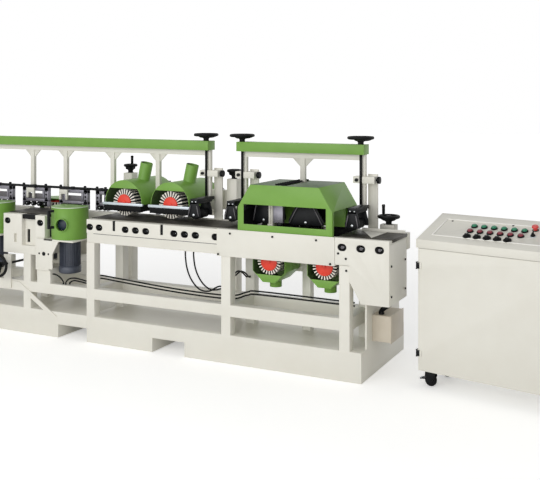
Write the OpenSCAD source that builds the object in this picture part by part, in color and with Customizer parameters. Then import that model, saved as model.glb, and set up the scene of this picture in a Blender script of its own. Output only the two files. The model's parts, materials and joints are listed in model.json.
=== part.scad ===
// Four-sided brush sanding machine for profiled boards, with its free-standing control desk.
// Millimetres, +Z up. The origin is on the floor at the centre of the main stand.
// Pieces are placed from the main stand's front right corner: X runs left from it as
// negative numbers, Y runs to the back and Z runs up.

/* [Stands] */
// Length of the main stand
stand_l = 2134; // [2120:1:2300]
// Depth of both stands, front to back
stand_d = 865; // [830:1:950]
// Height of the welded plinths
plinth_h = 192; // [160:1:220]
// Sheet thickness of the plinths
plinth_wall = 8; // [5:1:12]
// Length of the side stand
side_l = 1496; // [1480:1:1700]
// Height of the bed's front rail above the floor
bed_h = 900; // [885:1:960]
// Depth of the bed over both rails
bed_d = 420; // [415:1:440]
// Width of the square posts
post_w = 70; // [60:1:76]
// Height of the lower rails
rail_h = 77; // [60:1:90]

/* [Beams] */
// Height of the beam covers above the bed
beam_rise = 510; // [500:1:580]
// Height of a beam cover
cover_h = 67; // [55:1:80]
// Depth of a beam cover
cover_d = 100; // [95:1:120]
// Diameter of the lifting screws
screw_d = 18; // [14:1:20]
// Width of the square guide posts and struts
guide_w = 30; // [26:1:32]
// Diameter of the handwheels on the beams
wheel_d = 180; // [150:1:200]

/* [Heads] */
// Diameter of the top and side brushes
brush_d = 200; // [180:1:204]
// Diameter of the bottom brushes
bottom_brush_d = 170; // [150:1:180]
// Diameter of the brush hubs
hub_d = 98; // [90:1:120]
// Working length of a brush
brush_l = 200; // [160:1:205]
// Number of flaps on a brush
flap_count = 48; // [24:1:60]
// Outer radius of a top hood
hood_r = 165; // [155:1:168]
// Length of a top hood
hood_l = 450; // [430:1:470]
// Diameter of a side head's guard
guard_d = 276; // [250:1:280]
// Height of a side head's guard
guard_h = 241; // [225:1:250]
// Diameter of the motors
motor_d = 160; // [130:1:164]

/* [Roller hood] */
// Width of the roller hood
roller_hood_w = 680; // [660:1:690]
// Height of the roller hood above the bed
roller_hood_h = 312; // [300:1:330]
// Depth of the roller hood
roller_hood_d = 450; // [430:1:480]

/* [Control desk] */
// Length of the desk cabinet
desk_l = 1000; // [960:1:1100]
// Depth of the desk cabinet
desk_d = 350; // [340:1:420]
// Height of the desk cabinet without its lid
desk_h = 760; // [700:1:800]
// Height of the castors
castor_h = 100; // [90:1:125]
// Turn of the desk, clockwise from above
desk_turn = 11; // [0:1:20]
// Slope of the desk top
desk_slope = 18.7; // [12:0.1:25]

/* [Hidden] */
$fn = 48;

cream = "#E3E2D8";
leaf_green = "#78A542";
jet = "#1E1F20";
signal_red = "#E8402A";
slate = "#4A4F5C";
iron_grey = "#5A5852";
alloy = "#A9ADB0";
beige = "#DDD3C2";
button_green = "#1F9A6C";

// Cut overrun, sliding clearance and running clearance
over = 1;
gap = 0.3;
run_gap = 0.06;

function span(c, w) = [c - w / 2, c + w / 2];
function from(a, l) = [a, a + l];
function grow(s, t) = [s[0] - t, s[1] + t];
function mid(s) = (s[0] + s[1]) / 2;
function len_of(s) = s[1] - s[0];

// Places on the main stand, from its right end and from its left end
left = -stand_l;
side_left = left - side_l;
right_post_x = from(-148, post_w);
mid_post_x = from(-1002, post_w);
left_post_x = from(left, post_w);
post_front_y = from(0, post_w);
post_rear_y = from(bed_d - post_w, post_w);
rail_share = 0.353333;
rail_z = from(rail_share * bed_h, rail_h);
fork_x = [-1558, -1294];
fork_h = 100;
tie_w = 120;
back_foot_w = 160;
end_panel_t = 12;
end_panel_y = [100, 760];
drive_drop = 400;
end_panel_top = bed_h - drive_drop;
column_base_x = [-560, -500];
column_base_y = [352, 412];
back_tie = span(left / 2, tie_w);

// Bed: front rail, apron, rear rail, ties and slots
bar_h = 100;
apron_h = 70;
bar_y = [0, 60];
apron_set = 5;
rear_w = 60;
rear_y = [bed_d - rear_w, bed_d];
rear_rise = 5;
bed_end = 181;
tie_t = 20;
tie_xs = [left, -1110, -500, bed_end - tie_t];
slot_l = 60;
slot_h = 46;
slot_depth = 24;
slot_drop = 55;
slot_from_left = [28, 112, 343, 431, 519, 754, 840, 928, 1086];
slot_from_end = [-126, -1, 121];
notch_from_left = [244, 653];
notch_w = 23;
notch_drop = 72;
bed_under = bed_h - bar_h - apron_h;
rear_gap_w = 200;
table_t = 20;
table_top = bed_h + rear_rise;
table_gap = 2;
table_y = [bar_y[1] + table_gap, rear_y[0] - table_gap];

// Cover plates on the bed's front
plate_t = 8;
skirt_x = [-1032, -176];
skirt_z = [bed_h - 178, bed_h + 5];
drive_x = [-174, 185];
drive_low = bed_h - drive_drop;
drive_foot_x = 0;
drive_flank = 137;
drive_side_z = drive_low + drive_flank;
drive_step_z = bed_h - 165;
drive_back = 345;
drive_wall = 4;
drive_end_drop = 22;

// Bolt heads
bolt_r = 7;
bolt_h = 6;
adjuster_r = 11;
adjuster_l = 12;

// Overhead beams
cover_set = 120;
cover_wall = 3;
cover_y = from(bed_d - cover_set, cover_d);
cover_z = from(bed_h + beam_rise, cover_h);
cover_reach = 32;
screw_y = bed_d - 90;
post_y = bed_d - 60;
post_shift = 12;
screw_r = screw_d / 2;
screw_low = bed_h + 178;
post_low = bed_h + 175;
beam_rail_h = 40;
gusset = 60;
gusset_t = 10;
right_screw_x = [-1018, -126];
left_screw_in = 70;
left_screw_reach = 820;
left_screw_x = [side_left + left_screw_in, left + left_screw_reach];
right_struts = [-557];
left_strut_shares = [0.269, 0.419, 0.623, 0.808];
left_unit_shares = [[0.057881, 0.178094], [0.225289, 0.344613], [0.394479, 0.519145], [0.553428, 0.606857]];
left_units = [for (p = left_unit_shares) [for (s = p) left_screw_x[0] + s * len_of(left_screw_x)]];
left_struts = [for (s = left_strut_shares) left_screw_x[0] + s * len_of(left_screw_x)];
strut_w = 36;
strut_low = bed_h + 170;
wheel_rim_r = 8;
wheel_hub_r = 20;
wheel_hub_h = 56;
wheel_dish = 44;
wheel_spoke_r = 7;
grip_r = 9;
grip_l = 74;
top_grip_turn = -69;
crank_grip_turn = -40;
spokes = 3;

// Columns behind the bed that guide the beams
column_w = 68;
column_t = 12;
column_shift = 14;
column_y = from(bed_d - 20, column_t);
column_top = bed_h + 378;
web_d = 50;
web_drop = 170;
clamp_z = from(bed_h + 319, 45);
clamp_reach = 56;
clamp_y = [screw_y, column_y[0]];
knob_r = 11;
knob_l = 16;
star_r = 24;
star_l = 18;
stem_r = 6;
stem_l = 12;

// Roller hood and the pressers in it
roller_hood_x = from(-875, roller_hood_w);
roller_hood_shoulder = 160;
roller_hood_slope = 93;
roller_hood_wall = 4;
roller_hood_y = from(0, roller_hood_d);
window_x = grow(roller_hood_x, -44);
window_z = [bed_h + 48, bed_h + 180];
hood_slot_w = 56;
hood_slot_y = [26, roller_hood_d - 20];
hood_foot_w = 30;
hood_back_rise = 14;
presser_bar_z = from(bed_h + 160, 34);
presser_bar_y = span(post_y, 26);
presser_bar_x = [-800, -390];
presser_xs = [-750, -440];
presser_base_ws = [170, 250];
presser_top_w = 116;
presser_foot_h = 30;
end_cheek_w = 100;
rail_bar_y = [100, 130];
rail_post_x = [-702, -666];
rail_block_x = [-660, -590];
rail_post_low = bed_h + 30;
rail_block_low = bed_h + 54;
roller_r = 32;
roller_l = 130;
roller_clear = 26;
cheek_t = 12;
cheek_w = 120;
axle_r = 10;
presser_y = [150, 300];
arm_w = 24;

// Top heads: a hood, a motor with its spindle housing, a brush and a slide column
top_xs = [left + 191, left + 598];
top_z = bed_h + 113;
hood_front = 190;
hood_wall = 4;
hood_skirt_h = 13;
hood_lip = 61;
pipe_r = 47;
pipe_wall = 3;
pipe_lean = 13;
pipe_y = 400;
pipe_rise = 290;
strip_h = 14;
strip_t = 8;
strip_reach = 13;
strip_sink = 4;
strip_end = 30;
curtain_h = 40;
curtain_t = 6;
curtain_l = 300;
brush_set = 12;
nose_r = 14;
nose_l = 6;
hub_t = 8;
flange_w = 10;
flap_t = 3;
spindle_r = 15;
housing_r = 45;
housing_l = 190;
mount_t = 8;
mount_w = 260;
mount_h = 240;
motor_l = 200;
cowl_l = 46;
cowl_extra = 4;
terminal_w = 70;
terminal_h = 34;
spindle_in = 60;
top_column_w = 80;
top_column_xs = [left - 42, -1175];
top_column_ys = [607, 500];
top_column_top = bed_h + 295;
slide_h = 140;
slide_w = 60;
slide_low = 45;
top_wheel_d = 110;
top_wheel_rise = 58;

// Bottom heads, hung low under the roller hood
bottom_xs = [-691, -290];
bottom_drop = 210;
bottom_z = bed_h - bottom_drop;
bottom_y = 100;
trough_w = 240;
trough_rim = 30;
trough_waist = 65;
trough_floor = 137;
trough_floor_w = 90;
trough_wall = 3;
trough_y = [95, 335];
trough_band = 51;
spout_r = 41;
spout_l = 45;
bottom_motor_l = 180;
bottom_motor_d = 150;
arm_drop = 100;

rear_runs = [[left, bottom_xs[0] - rear_gap_w / 2],
    [bottom_xs[0] + rear_gap_w / 2, bottom_xs[1] - rear_gap_w / 2],
    [bottom_xs[1] + rear_gap_w / 2, drive_x[1]]];

// Side heads on the side stand
side_head_shares = [0.167112, 0.652406, 0.478610];
side_xs = [for (s = side_head_shares) left - s * side_l];
side_ys = [120, 120, 520];
guard_low = bed_h - 169;
guard_wall = 4;
guard_open = 75;
rim_h = 5;
rim_w = 3;
port_r = 48;
port_l = 22;
port_wall = 4;
port_drop = 126;
port_turn = 15;
handle_w = 20;
handle_t = 18;
handle_reach = 48;
handle_h = 140;
handle_rise = 82;
handle_turn = -22;
side_flap_l = 180;
side_flap_low = 30;
motor_room = 75;
side_motor_l = guard_low - rail_z[1] - cowl_l - motor_room;
bracket_t = 12;
bracket_w = 160;
bracket_x = -136;
foot_clear = 90;
bracket_share = 0.248889;
bracket_low = guard_low - bracket_share * bed_h;
bracket_reach = 138;
slide_base_z = [rail_z[1], bracket_low - bracket_t];
rear_base_y = 700;
rear_leg_y = [600, 670];
bracket_hole_r = 16;
bracket_small_r = 7;
bracket_hole_pitch = 44;
side_wheel_share = 0.502674;
side_wheel_x = left - side_wheel_share * side_l;
side_wheel_lift = 8;
side_wheel_z = bracket_low + side_wheel_lift;
side_shaft_r = 9;
side_wheel_y = -120;

// Side stand's rails and uprights
side_post_share = 0.491310;
side_post_x = from(left - side_post_share * side_l, post_w);
front_post_share = 0.401070;
front_post_x = from(left - front_post_share * side_l, post_w);
upright_1_shares = [0.534759, 0.413102];
upright_2_shares = [0.323529, 0.263369];
upright_1 = [for (s = upright_1_shares) left - s * side_l];
upright_2 = [for (s = upright_2_shares) left - s * side_l];
upright_slot_in = 39;
upright_slots = [upright_1[0] + upright_slot_in, mid(upright_2)];
upright_drop = 236;
upright_low = bed_h - upright_drop;
cross_bar_h = 64;
centre_plate_y = [40, 52];
end_bar_y = [8, 40];
end_bar_h = 34;
relief_w = 28;
relief_h = 66;
relief_edge = 50;
relief_rise = 20;
vent_w = 29;
vent_h = 100;
vent_edge = 18;
vent_x = from(upright_1[1] + vent_edge, vent_w);
vent_z = from(upright_low + relief_rise, vent_h);
relief_x = from(upright_1[1] - relief_edge - relief_w, relief_w);
relief_z = from(upright_low + relief_rise, relief_h);
brace_w = 66;
brace_t = 10;
brace_top_share = 0.424465;
brace_foot_share = 0.183824;
brace_top_x = left - brace_top_share * side_l;
brace_foot_x = left - brace_foot_share * side_l;
brace_z = [plinth_h - brace_w / 2, rail_z[1] - brace_t];

// Crank at the right end of the rear rail
crank_x = 45;
crank_y = bed_d - 20;
crank_box_w = 100;
crank_box_d = 70;
crank_box_h = 45;
crank_shaft_l = 50;
crank_wheel_d = 150;

// Terminal box on the stand's end
terminal_x = [0, 124];
terminal_y = [200, 449];
terminal_h_all = 168;
terminal_drop = 278;
terminal_z = from(drive_low - terminal_drop, terminal_h_all);
terminal_lid_t = 6;
terminal_lid_edge = 5;

// Control desk
desk_x = 326;
desk_y = 121;
desk_wall = 4;
desk_lid_edge = 8;
desk_lid_h = 52;
panel_margin = 70;
panel_sink = 2;
door_t = 5.7;
door_set = 6;
door_gap = 4;
hinge_r = 6;
hinge_pin_r = 3;
hinge_h = 36;
hinge_ear_t = 4;
hinge_leaf_l = 26;
hinge_low = 90;
hinge_drop = 129;
hinge_zs = [castor_h + hinge_low, castor_h + desk_h - hinge_drop];
button_r = 16;
button_h = 13;
bezel_r = 14;
button_pitch = 64;
button_first = 278;
button_count = 6;
start_y = 216;
stop_y = 152;
knob_row_y = 84;
knob_first = 287;
dial_r = 25;
dial_h = 18;
dial_rim_h = 6;
dial_grip_r = 15;
stop_at = [653, 244];
mushroom_r = 20;
mushroom_h = 12;
mushroom_neck_r = 12;
mushroom_neck_h = 16;
selector_at = [666, 167];
selector_lever = [26, 8, 14];
control_bore = 8;
control_stem_r = 7;
control_stem_l = 6;
control_lift = 2;
castor_set = 60;
castor_plate = 64;
castor_plate_t = 6;
castor_wheel_r = 38;
castor_wheel_w = 26;
castor_fork_t = 5;
castor_fork_w = 44;
castor_axle_r = 6;
pedal_l = 40;
pedal_t = 6;

// Cable routes behind the stand's front frame
cable_r = 7;
cable_sides = 8;
run_low = [[-2106, 70, 452], [-2106, 88, 452], [-2092, 108, 451], [-2056, 112, 450], [-1840, 112, 436],
    [-1400, 112, 412], [-1000, 112, 410], [-860, 112, 448], [-760, 112, 460], [-140, 112, 456],
    [-112, 104, 456], [-106, 88, 456], [-106, 70, 456]];
cable_gap = 22;
run_high = [for (p = run_low) p + [0, 0, cable_gap]];
loop_1 = [[-1302, 28, 730], [-1302, 28, 690], [-1292, 28, 620], [-1268, 28, 556], [-1228, 28, 502],
    [-1176, 28, 468], [-1112, 28, 468], [-1060, 28, 496], [-1030, 28, 508], [-1002, 28, 508]];
loop_2 = [[-1245, 44, 730], [-1245, 44, 690], [-1234, 44, 620], [-1208, 44, 558], [-1166, 44, 506],
    [-1112, 44, 476], [-1064, 44, 478], [-1032, 44, 488], [-1002, 44, 488]];
conduit_r = 16;
conduit = [[116, 250, 500], [116, 250, 480], [98, 249, 452], [68, 246, 432], [48, 244, 410],
    [48, 244, 390]];
motor_lead = [[-2375, 30, 395], [-2375, 30, 414], [-2408, 30, 446], [-2450, 30, 462], [-2474, 30, 462]];
arc_1 = [[-2350, 30, 395], [-2350, 30, 412], [-2320, 30, 440], [-2270, 30, 450], [-2210, 30, 446],
    [-2160, 30, 438], [-2134, 30, 438]];
arc_2 = [[-2328, 50, 395], [-2328, 50, 408], [-2290, 50, 426], [-2230, 50, 424], [-2165, 50, 416],
    [-2134, 50, 416]];
link_1 = [[-964, 70, 580], [-964, 96, 580], [-966, 170, 592], [-976, 250, 568], [-986, 330, 524],
    [-986, 350, 524]];
link_2 = [for (p = link_1) p + [cable_gap, 0, 0]];

module corner() {
    translate([stand_l / 2, -stand_d / 2, 0]) children();
}

module slab(x, y, z) {
    translate([x[0], y[0], z[0]]) cube([len_of(x), len_of(y), len_of(z)]);
}

module rod_x(r, x, y, z) {
    translate([x[0], y, z]) rotate([0, 90, 0]) cylinder(r = r, h = len_of(x));
}

module rod_y(r, x, y, z) {
    translate([x, y[0], z]) rotate([-90, 0, 0]) cylinder(r = r, h = len_of(y));
}

module rod_z(r, x, y, z) {
    translate([x, y, z[0]]) cylinder(r = r, h = len_of(z));
}

// An outline in X and Z, drawn out along Y
module prism_y(points, y) {
    translate([0, y[1], 0]) rotate([90, 0, 0]) linear_extrude(len_of(y)) polygon(points);
}

// An outline in Y and Z, drawn out along X
module prism_x(points, x) {
    translate([x[0], 0, 0]) rotate([90, 0, 90]) linear_extrude(len_of(x)) polygon(points);
}

module tray(x, y) {
    difference() {
        slab(x, y, [0, plinth_h]);
        slab(grow(x, -plinth_wall), grow(y, -plinth_wall), [-over, plinth_h - plinth_wall]);
    }
}

module stand_leg(x) {
    slab(x, post_front_y, [plinth_h, bed_under]);
    slab(x, post_rear_y, [plinth_h, bed_h - bar_h]);
    slab(x, [post_w - over, bed_d - post_w + over], rail_z);
}

module main_stand() {
    color(cream) corner() {
        difference() {
            tray([left, 0], [0, stand_d]);
            slab(fork_x, [-over, stand_d + over], [-over, fork_h]);
            for (x = [[left + back_foot_w, back_tie[0]], [back_tie[1], -back_foot_w]]) {
                slab(x, [stand_d - plinth_wall - over, stand_d + over], [-over, plinth_h - plinth_wall]);
            }
        }
        slab(back_tie, grow([0, stand_d], -plinth_wall / 2), [0, plinth_wall]);
        for (x = [left_post_x, mid_post_x, right_post_x]) stand_leg(x);
        for (y = [post_front_y, post_rear_y]) slab([left, right_post_x[1]], y, rail_z);
        slab([-end_panel_t, 0], end_panel_y, [plinth_h, end_panel_top]);
        slab(column_base_x, column_base_y, [plinth_h, bed_h - bar_h]);
    }
}

module bed_slot(x) {
    z = bed_h - slot_drop;
    flat = slot_l - slot_h;
    for (s = [-1, 1]) rod_y(slot_h / 2, x + s * flat / 2, [-plate_t - over, slot_depth], z);
    slab(span(x, flat), [-plate_t - over, slot_depth], span(z, slot_h));
}

module bed_rails() {
    color(cream) corner() {
        difference() {
            slab([left, bed_end], bar_y, [bed_h - bar_h, bed_h]);
            for (d = slot_from_left) bed_slot(left + d);
            for (d = slot_from_end) bed_slot(d);
            for (d = notch_from_left) {
                slab(span(left + d, notch_w), [-over, slot_depth], [bed_h - notch_drop, bed_h + over]);
            }
        }
        slab([left, bed_end], grow(bar_y, -apron_set), [bed_under, bed_h - bar_h]);
        for (x = rear_runs) slab(x, rear_y, [bed_h - bar_h, table_top]);
        for (x = tie_xs) {
            slab(from(x, tie_t), [bar_y[1] - over, rear_y[0] + over], [bed_h - bar_h, table_top - table_t]);
        }
    }
}

module table_plates() {
    slits = [for (x = bottom_xs) span(x, bottom_brush_d + 2 * trough_rim)];
    color(iron_grey) corner() {
        slab([left, slits[0][0]], table_y, [table_top - table_t, table_top]);
        slab([slits[0][1], slits[1][0]], table_y, [table_top - table_t, table_top]);
        slab([slits[1][1], drive_x[1]], table_y, [table_top - table_t, table_top]);
        slab([upright_1[0], upright_2[1]], table_y, [table_top - table_t, table_top]);
    }
}

module front_skirt() {
    color(cream) corner() slab(skirt_x, [-plate_t, 0], skirt_z);
}

module drive_box() {
    side_x = right_post_x[1];
    wall = drive_wall;
    front = [[drive_x[0], skirt_z[1]], [drive_x[1], skirt_z[1]], [drive_x[1], drive_low],
        [drive_foot_x, drive_low], [side_x, drive_side_z], [side_x, drive_step_z],
        [drive_x[0], drive_step_z]];
    outer = [[bed_end, bed_under], [bed_end, drive_low], [drive_foot_x, drive_low],
        [side_x, drive_side_z], [side_x, bed_under]];
    inner = [[bed_end + over, bed_under + over], [bed_end + over, drive_low + wall],
        [drive_foot_x + wall, drive_low + wall], [side_x + wall, drive_side_z],
        [side_x + wall, bed_under + over]];
    color(cream) corner() {
        difference() {
            prism_y(front, [-plate_t, 0]);
            for (d = slot_from_end) bed_slot(d);
        }
        difference() {
            prism_y(outer, [0, drive_back]);
            prism_y(inner, [-over, drive_back - wall]);
        }
        slab([bed_end, drive_x[1]], [0, drive_back], [drive_low, bed_h - drive_end_drop]);
    }
}

module terminal_box() {
    color(beige) corner() {
        slab(terminal_x, terminal_y, terminal_z);
        slab(from(terminal_x[1], terminal_lid_t), grow(terminal_y, terminal_lid_edge),
            grow(terminal_z, terminal_lid_edge));
    }
}

module side_slide_base(i, y) {
    foot = [bracket_x - bracket_w / 2, -foot_clear];
    sx = side_xs[i];
    x = i == 2 ? [sx - foot[1], sx - foot[0]] : [sx + foot[0], sx + foot[1]];
    slab(x, y, slide_base_z);
    if (i == 2) slab(span(mid(x), post_w), rear_leg_y, [plinth_h - over, slide_base_z[0] + over]);
}

module side_stand() {
    color(cream) corner() {
        difference() {
            tray([side_left, left], [0, stand_d]);
            slab([left - len_of(fork_x), left + over], [-over, stand_d + over], [-over, fork_h]);
        }
        for (y = [post_front_y, post_rear_y]) {
            slab([side_left, left], y, rail_z);
            slab(from(side_left, post_w), y, [plinth_h, bed_under]);
        }
        slab(front_post_x, post_front_y, [plinth_h, upright_low]);
        slab(side_post_x, post_rear_y, [plinth_h, upright_low]);
        for (x = [side_left, side_post_x[0]]) {
            slab(from(x, post_w), [post_w - over, bed_d - post_w + over], rail_z);
        }
        slab([side_left, side_left + bracket_w], [post_w, bed_d - post_w], [bed_under - rail_h, bed_under]);
        slab([side_left, side_left + bracket_w], post_front_y, [bed_under - over, bed_h]);
        for (i = [0, 1]) side_slide_base(i, [0, bed_d]);
        side_slide_base(2, [post_rear_y[0], rear_base_y]);
        slab([upright_1[0], upright_2[1]], [bar_y[0], bed_d], [upright_low - cross_bar_h, upright_low]);
        difference() {
            for (x = [upright_1, upright_2]) slab(x, bar_y, [upright_low, bed_h]);
            for (x = upright_slots) bed_slot(x);
            slab(relief_x, [-over, slot_depth], relief_z);
        }
        for (x = [upright_1, upright_2]) {
            slab(x, [bar_y[1] - over, rear_y[0] + over], [bed_h - bar_h, table_top - table_t]);
        }
        difference() {
            slab(grow([upright_1[1], upright_2[0]], over), centre_plate_y,
                [upright_low, bed_h - slot_depth]);
            slab(vent_x, grow(centre_plate_y, over), vent_z);
        }
        side_rear_rail([side_left, side_xs[2] - guard_d / 2 - brace_t]);
        side_rear_rail([side_xs[2] + guard_d / 2 + brace_t, left]);
        prism_y([[brace_top_x, brace_z[1]], [brace_foot_x, brace_z[0]],
            [brace_foot_x - brace_w, brace_z[0]], [brace_top_x - brace_w, brace_z[1]]], [-brace_t, 0]);
    }
}

module side_rear_rail(x) {
    slab(x, rear_y, [bed_h - bar_h, table_top]);
    slab(from(x[0], post_w), post_rear_y, [rail_z[1] - over, bed_h - bar_h + over]);
}

module clamp_block(sx) {
    px = sx + post_shift;
    x = [sx - clamp_reach, px + column_shift + column_w];
    difference() {
        slab(x, clamp_y, clamp_z);
        slab(span(px, guide_w + 2 * gap), span(post_y, guide_w + 2 * gap), grow(clamp_z, over));
        rod_z(screw_r + gap, sx, screw_y, grow(clamp_z, over));
    }
}

module guide_column(sx) {
    x = from(sx + post_shift + column_shift, column_w);
    web = span(mid(x), column_t);
    slab(x, column_y, [table_top, column_top]);
    prism_x([[column_y[1] - over, table_top], [column_y[1] + web_d, table_top],
        [column_y[1] - over, column_top - web_drop]], web);
    clamp_block(sx);
}

module top_column(i) {
    translate([top_column_xs[i], top_column_ys[i], plinth_h]) {
        slab(span(0, top_column_w), span(0, top_column_w), [0, top_column_top - plinth_h]);
    }
}

module guide_columns() {
    shaft_hole = side_shaft_r + run_gap;
    color(cream) corner() {
        for (sx = concat(right_screw_x, left_screw_x)) guide_column(sx);
        for (i = [0, 1]) {
            difference() {
                top_column(i);
                rod_z(side_shaft_r + run_gap, top_column_xs[i], top_column_ys[i],
                    [top_column_top - top_column_w, top_column_top + over]);
            }
        }
        difference() {
            slab(span(crank_x, crank_box_w), span(crank_y, crank_box_d), from(table_top, crank_box_h));
            rod_z(shaft_hole, crank_x, crank_y, [table_top + bolt_h, table_top + crank_box_h + over]);
        }
        difference() {
            slab(span(side_wheel_x, post_w), from(-bracket_t, bracket_t),
                [rail_z[0] + bracket_t, side_wheel_z + post_w]);
            rod_y(shaft_hole, side_wheel_x, [-bracket_t - over, over], side_wheel_z);
        }
    }
}

function skirt_bolts() = concat([for (x = [-929, -613, -302]) [x, skirt_z[1] - 27]],
    [for (x = [-1020, -205]) [x, skirt_z[0] + 12]]);
function drive_bolts() = [[-151, bed_h - 94], [-99, bed_h - 124]];
function post_bolts() = [[-99, bed_h - 200]];
function end_bolts() = [for (y = [30, 310]) for (z = [745, 557]) [y, z]];

module star_knob(sx) {
    x = sx + post_shift + column_shift + column_w;
    z = mid(clamp_z);
    rod_x(stem_r, from(x, stem_l), mid(clamp_y), z);
    rod_x(star_r, from(x + stem_l, star_l), mid(clamp_y), z);
    rod_y(knob_r, sx - clamp_reach / 2, from(clamp_y[0] - knob_l, knob_l), z);
}

module fasteners() {
    color(jet) corner() {
        for (p = skirt_bolts()) rod_y(bolt_r, p[0], from(-plate_t - bolt_h, bolt_h), p[1]);
        for (p = drive_bolts()) rod_y(bolt_r, p[0], from(-plate_t - bolt_h, bolt_h), p[1]);
        for (p = post_bolts()) rod_y(bolt_r, p[0], from(-bolt_h, bolt_h), p[1]);
        for (p = end_bolts()) rod_x(bolt_r, from(drive_x[1], bolt_h), p[0], p[1]);
        for (d = slot_from_left) adjuster(left + d);
        for (d = slot_from_end) adjuster(d);
        for (x = upright_slots) adjuster(x);
        slab(grow([upright_1[1], upright_2[0]], -gap), end_bar_y, [bed_h - end_bar_h, bed_h]);
        for (sx = concat(right_screw_x, left_screw_x)) star_knob(sx);
    }
}

module adjuster(x) {
    rod_y(adjuster_r, x, [slot_depth - adjuster_l, slot_depth], bed_h - slot_drop);
}

// A ring of points round a route's point, square to the route
function ring(p, t, r, side) =
    let (u = side - t * (t * side), n = u / norm(u), v = cross(t, n))
    [for (k = [0 : cable_sides - 1]) let (a = k * 360 / cable_sides) p + r * (cos(a) * n + sin(a) * v)];

function heading(path, i) =
    let (a = path[max(i - 1, 0)], b = path[min(i + 1, len(path) - 1)]) (b - a) / norm(b - a);

module cable(path, r, side) {
    n = cable_sides;
    last = len(path) - 1;
    points = [for (i = [0 : last]) each ring(path[i], heading(path, i), r, side)];
    sides = [for (i = [0 : last - 1]) for (k = [0 : n - 1])
        let (a = i * n + k, b = i * n + (k + 1) % n) each [[a, a + n, b], [b, a + n, b + n]]];
    cap_a = [for (k = [1 : n - 2]) [0, k, k + 1]];
    cap_b = [for (k = [1 : n - 2]) [last * n, last * n + k + 1, last * n + k]];
    polyhedron(points = points, faces = concat(sides, cap_a, cap_b));
}

module power_cables() {
    color(jet) corner() {
        cable(run_low, cable_r, [0, 0, 1]);
        cable(run_high, cable_r, [0, 0, 1]);
        cable(conduit, conduit_r, [0, 1, 0]);
        for (path = [motor_lead, arc_1, arc_2]) cable(path, cable_r, [0, 1, 0]);
        for (path = [link_1, link_2]) cable(path, cable_r, [1, 0, 0]);
    }
}

module hanging_cables() {
    color(jet) corner() {
        cable(loop_1, cable_r, [0, 1, 0]);
        cable(loop_2, cable_r, [0, 1, 0]);
    }
}

function hood_outline(t, low) =
    let (x = grow(roller_hood_x, -t), top = bed_h + roller_hood_h - t, z = bed_h + roller_hood_shoulder)
    [[x[0], low], [x[0], z], [x[0] + roller_hood_slope, top], [x[1] - roller_hood_slope, top],
        [x[1], z], [x[1], low]];

module roller_hood() {
    t = roller_hood_wall;
    y = roller_hood_y;
    shoulder = bed_h + roller_hood_shoulder;
    color(leaf_green) corner() difference() {
        prism_y(hood_outline(0, bed_h), y);
        prism_y(hood_outline(t, bed_h - over), grow(y, -t));
        slab(window_x, [-over, t + over], window_z);
        slab(span(right_struts[0], hood_slot_w), hood_slot_y,
            from(bed_h + roller_hood_h - 2 * t, 2 * t + over));
        slab(grow(roller_hood_x, over), [hood_foot_w, bed_d], [bed_h - over, shoulder]);
        slab(grow(roller_hood_x, -hood_foot_w), [y[1] - t - over, y[1] + over],
            [bed_h - over, bed_h + hood_back_rise]);
    }
}

module beam_cover(xs) {
    x = grow(xs, cover_reach);
    t = cover_wall;
    color(leaf_green) corner() difference() {
        slab(x, cover_y, cover_z);
        slab(grow(x, -t), grow(cover_y, -t), [cover_z[0] - over, cover_z[1] - t]);
        for (sx = xs) rod_z(screw_r + run_gap, sx, screw_y, grow(cover_z, over));
    }
}

module beam_strut(x, low) {
    top = cover_z[0] - beam_rail_h;
    slab(span(x, strut_w), span(post_y, guide_w), [low, top + over]);
    for (s = [-1, 1]) {
        edge = x + s * (strut_w / 2 - over);
        prism_y([[edge, top], [edge + s * gusset, top], [edge, top - gusset]], span(post_y, gusset_t));
    }
}

module beam_frame(xs, struts, low) {
    rail_x = [xs[0] + post_shift, xs[1] + post_shift];
    color(cream) corner() {
        slab(rail_x, span(post_y, guide_w), [cover_z[0] - beam_rail_h, cover_z[0]]);
        for (sx = xs) {
            slab(span(sx + post_shift, guide_w), span(post_y, guide_w),
                [post_low, cover_z[1] - cover_wall]);
        }
        for (x = struts) beam_strut(x, low);
    }
}

// A hold-down: two cheeks on an axle with a roller between them
module presser(x, top, base_w, top_w) {
    z = table_top + roller_clear + roller_r;
    low = z - roller_r / 2;
    foot = span(x, base_w);
    head = span(x, top_w);
    cheek = [[foot[0], low], [foot[1], low], [foot[1], low + presser_foot_h], [head[1], top],
        [head[0], top], [foot[0], low + presser_foot_h]];
    prism_y(cheek, from(presser_y[0] - cheek_t, cheek_t));
    prism_y(cheek, from(presser_y[1], cheek_t));
    rod_y(axle_r, x, [presser_y[0] - over, presser_y[1] + over], z);
    difference() {
        rod_y(roller_r, x, [presser_y[0] + gap, presser_y[1] - gap], z);
        rod_y(axle_r + run_gap, x, presser_y, z);
    }
    slab(span(x, top_w), [presser_y[0] - cheek_t, presser_bar_y[0]], [top - cheek_t, top]);
}

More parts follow.
